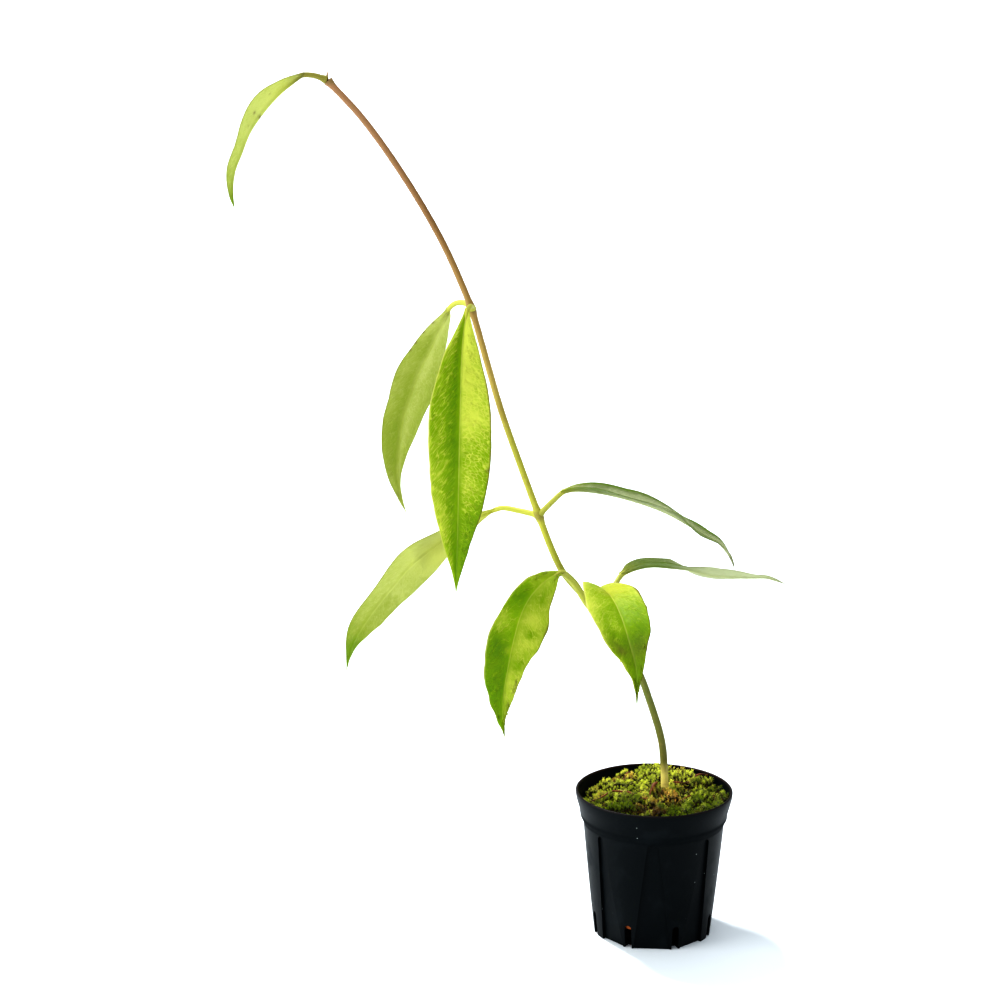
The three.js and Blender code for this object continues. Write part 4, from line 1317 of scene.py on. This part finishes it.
# The tone tables hold each leaf's own pigment and also painted light: halves that face the light are
# painted paler and shaded parts deeper.
LEAF_DETAIL = {
    "leaf_youngest_left": {
        "paint": "young", "stalk_marks": (0.15, 0.5), "scallop": 0.15,
        "left_tone_and_light": [0, 0.6, 0.7, 0.4, 0],
        "yellow": [(0.16, 0, 12, 0.35)],
        "brown": [(0.42, 0.42, 0.8, 0.9), (0.37, -0.3, 0.7, 0.9), (0.41, 0, 0.8, 0.9),
                  (0.28, 0.5, 0.6, 0.5), (0.31, -0.2, 0.6, 0.5), (0.5, 0.3, 0.6, 0.4),
                  (0, 0, 11, 0.5)],
        "tone": [(0.97, 0, 6, -1.3)],
    },
    "leaf_fourth_node_back": {
        "paint": "young", "stalk_marks": (0.2, 0.0),
        "left_tone_and_light": [0.9, 0.35, 0.15, 0.2, 0.7], "right_tone_and_light": [0.9, 0.2, 0.05, -0.1, 0.6],
        "across_tone": [-0.1, 0, 0.45, 0.2, -0.15, 0.05, 0.1],
        "yellow": [(0, 0, 4, 0.4)],
        "brown": [(0.09, 0.97, 0.8, 0.7), (0.15, 0.97, 0.7, 0.7), (0.21, 0.98, 0.8, 0.7),
                  (0.25, 0.98, 0.7, 0.7)],
    },
    # Painted light: the right half is painted paler, with two pale marks, where it faces the light;
    # the long pale walls on the left half are partly painted highlights.
    "leaf_fourth_node_front": {
        "paint": "mature", "puff": 0.8, "cells": (52, 0.5), "shown": (0.95, 0.4),
        "net": ((0.9, 0.35, 1.5, 4.2), (0.1, 0.3, 1.5, 2.4)), "stalk_marks": (0.3, 0.0),
        "left_tone_and_light": [0.25, 0, -0.05, 0.35, -0.1], "right_tone_and_light": [1.15, 1.0, 0.45, -0.2, -0.25],
        "across_tone": [0.35, 0.2, -0.55, -0.35, 0.15, 0, -0.2],
        "yellow": [(0, 0.2, 3, 0.8)],
        "brown": [(0.55, 0.92, 1, 0.6)],
        "tone": [(0.4, 0.3, 9, 0.4), (0.62, 0.35, 6, 0.35)],
    },
    # Painted light: the foot is painted pale where the fourth node's back leaf shades it.
    "leaf_third_node_left": {
        "paint": "young", "stalk_marks": (0.35, 0.0),
        "left_tone_and_light": [1, 1, 0.6, 0.1, -0.9],
        "yellow": [(0.02, 0, 16, 0.8), (0.3, -0.3, 16, 0.45)],
        "tone": [(0.46, -0.12, 0.8, 1.2), (0.59, -0.42, 0.8, 1.2), (0.9, 0, 6, -0.8)],
    },
    "leaf_third_node_right": {
        "paint": "dusky", "stalk_marks": (0.1, 0.15),
        "left_tone_and_light": [-0.4, -0.2, 0.35, 0, 1.2], "right_tone_and_light": [-0.4, 0, 0.4, -0.1, 1.2],
        "across_tone": [-0.5, -0.3, 0.1, 0.6, 0.4, 0, -1.3],
        "yellow": [(0, 0, 9, 0.45)],
        "tone": [(0.97, 0, 7, 1.5)],
    },
    # Painted light: the right half is painted paler where it faces the light, the left half deeper.
    "leaf_second_node_front": {
        "paint": "mature", "puff": 0.4, "petiole": (1.75, 1.6), "shown": (0.4, 0.9),
        "scallop": 0.9, "stalk_marks": (0.15, 0.0),
        "left_tone_and_light": [0.45, 0.15, 0, -0.65, -0.1], "right_tone_and_light": [0.4, 0.55, 0.5, 0.75, 0.2],
        "yellow": [(0.56, -0.12, 1.8, 0.6)],
        "tone": [(0.32, -0.4, 6, -0.8), (0.44, -0.75, 5, 0.5), (0.56, -0.55, 5, -0.6),
                 (0.39, 0.5, 4, 0.4), (0.52, 0.42, 4, 0.4), (0.46, 0.5, 2.5, -0.7),
                 (0.62, 0.5, 3, -0.6), (0.25, 0.5, 3, -0.5)],
    },
    # Painted light and shade: the right half is painted pale at its top and deeper lower down, where
    # its broad brown mark is partly painted shade.
    "leaf_first_node_front": {
        "paint": "mature", "puff": 0.4, "shown": (0.4, 0.7), "scallop": 0.8,
        "left_tone_and_light": [0.3, 0.2, 0.1, -0.5, -0.2], "right_tone_and_light": [0.75, 0.45, 0.1, -0.9, -0.2],
        "across_tone": [0.8, 0.1, 0, 0, 0.1, 0.1, 0.3],
        "yellow": [(0.3, 0.45, 11, 0.6)],
        "brown": [(0.73, -0.57, 2.2, 0.5), (0.69, -0.7, 2.5, 0.25), (0.74, 0.45, 6.5, 0.35),
                  (0.93, 0, 4, 0.15), (0.3, 0.5, 11, 0.12), (0.35, -0.15, 3, 0.2)],
        "tone": [(0.62, -0.3, 4, 0.4)],
    },
    "leaf_second_node_back": {
        "paint": "dusky", "petiole": (1.35, 1.3),
        "left_tone_and_light": [-0.4, -0.45, 0.85, 1.1, 1],
        "yellow": [(0, 0, 8, 0.5)],
        "brown": [(1, 0, 5, 0.4)],
    },
}
for leaf in LEAVES:
    detail = LEAF_DETAIL[leaf["name"]]
    piece = grow_leaf({**leaf, **PLAIN_LEAF, **detail}, LEAF_PAINTS[detail["paint"]])
    print(piece.name, "faces:", len(piece.data.polygons))

# %% [markdown]
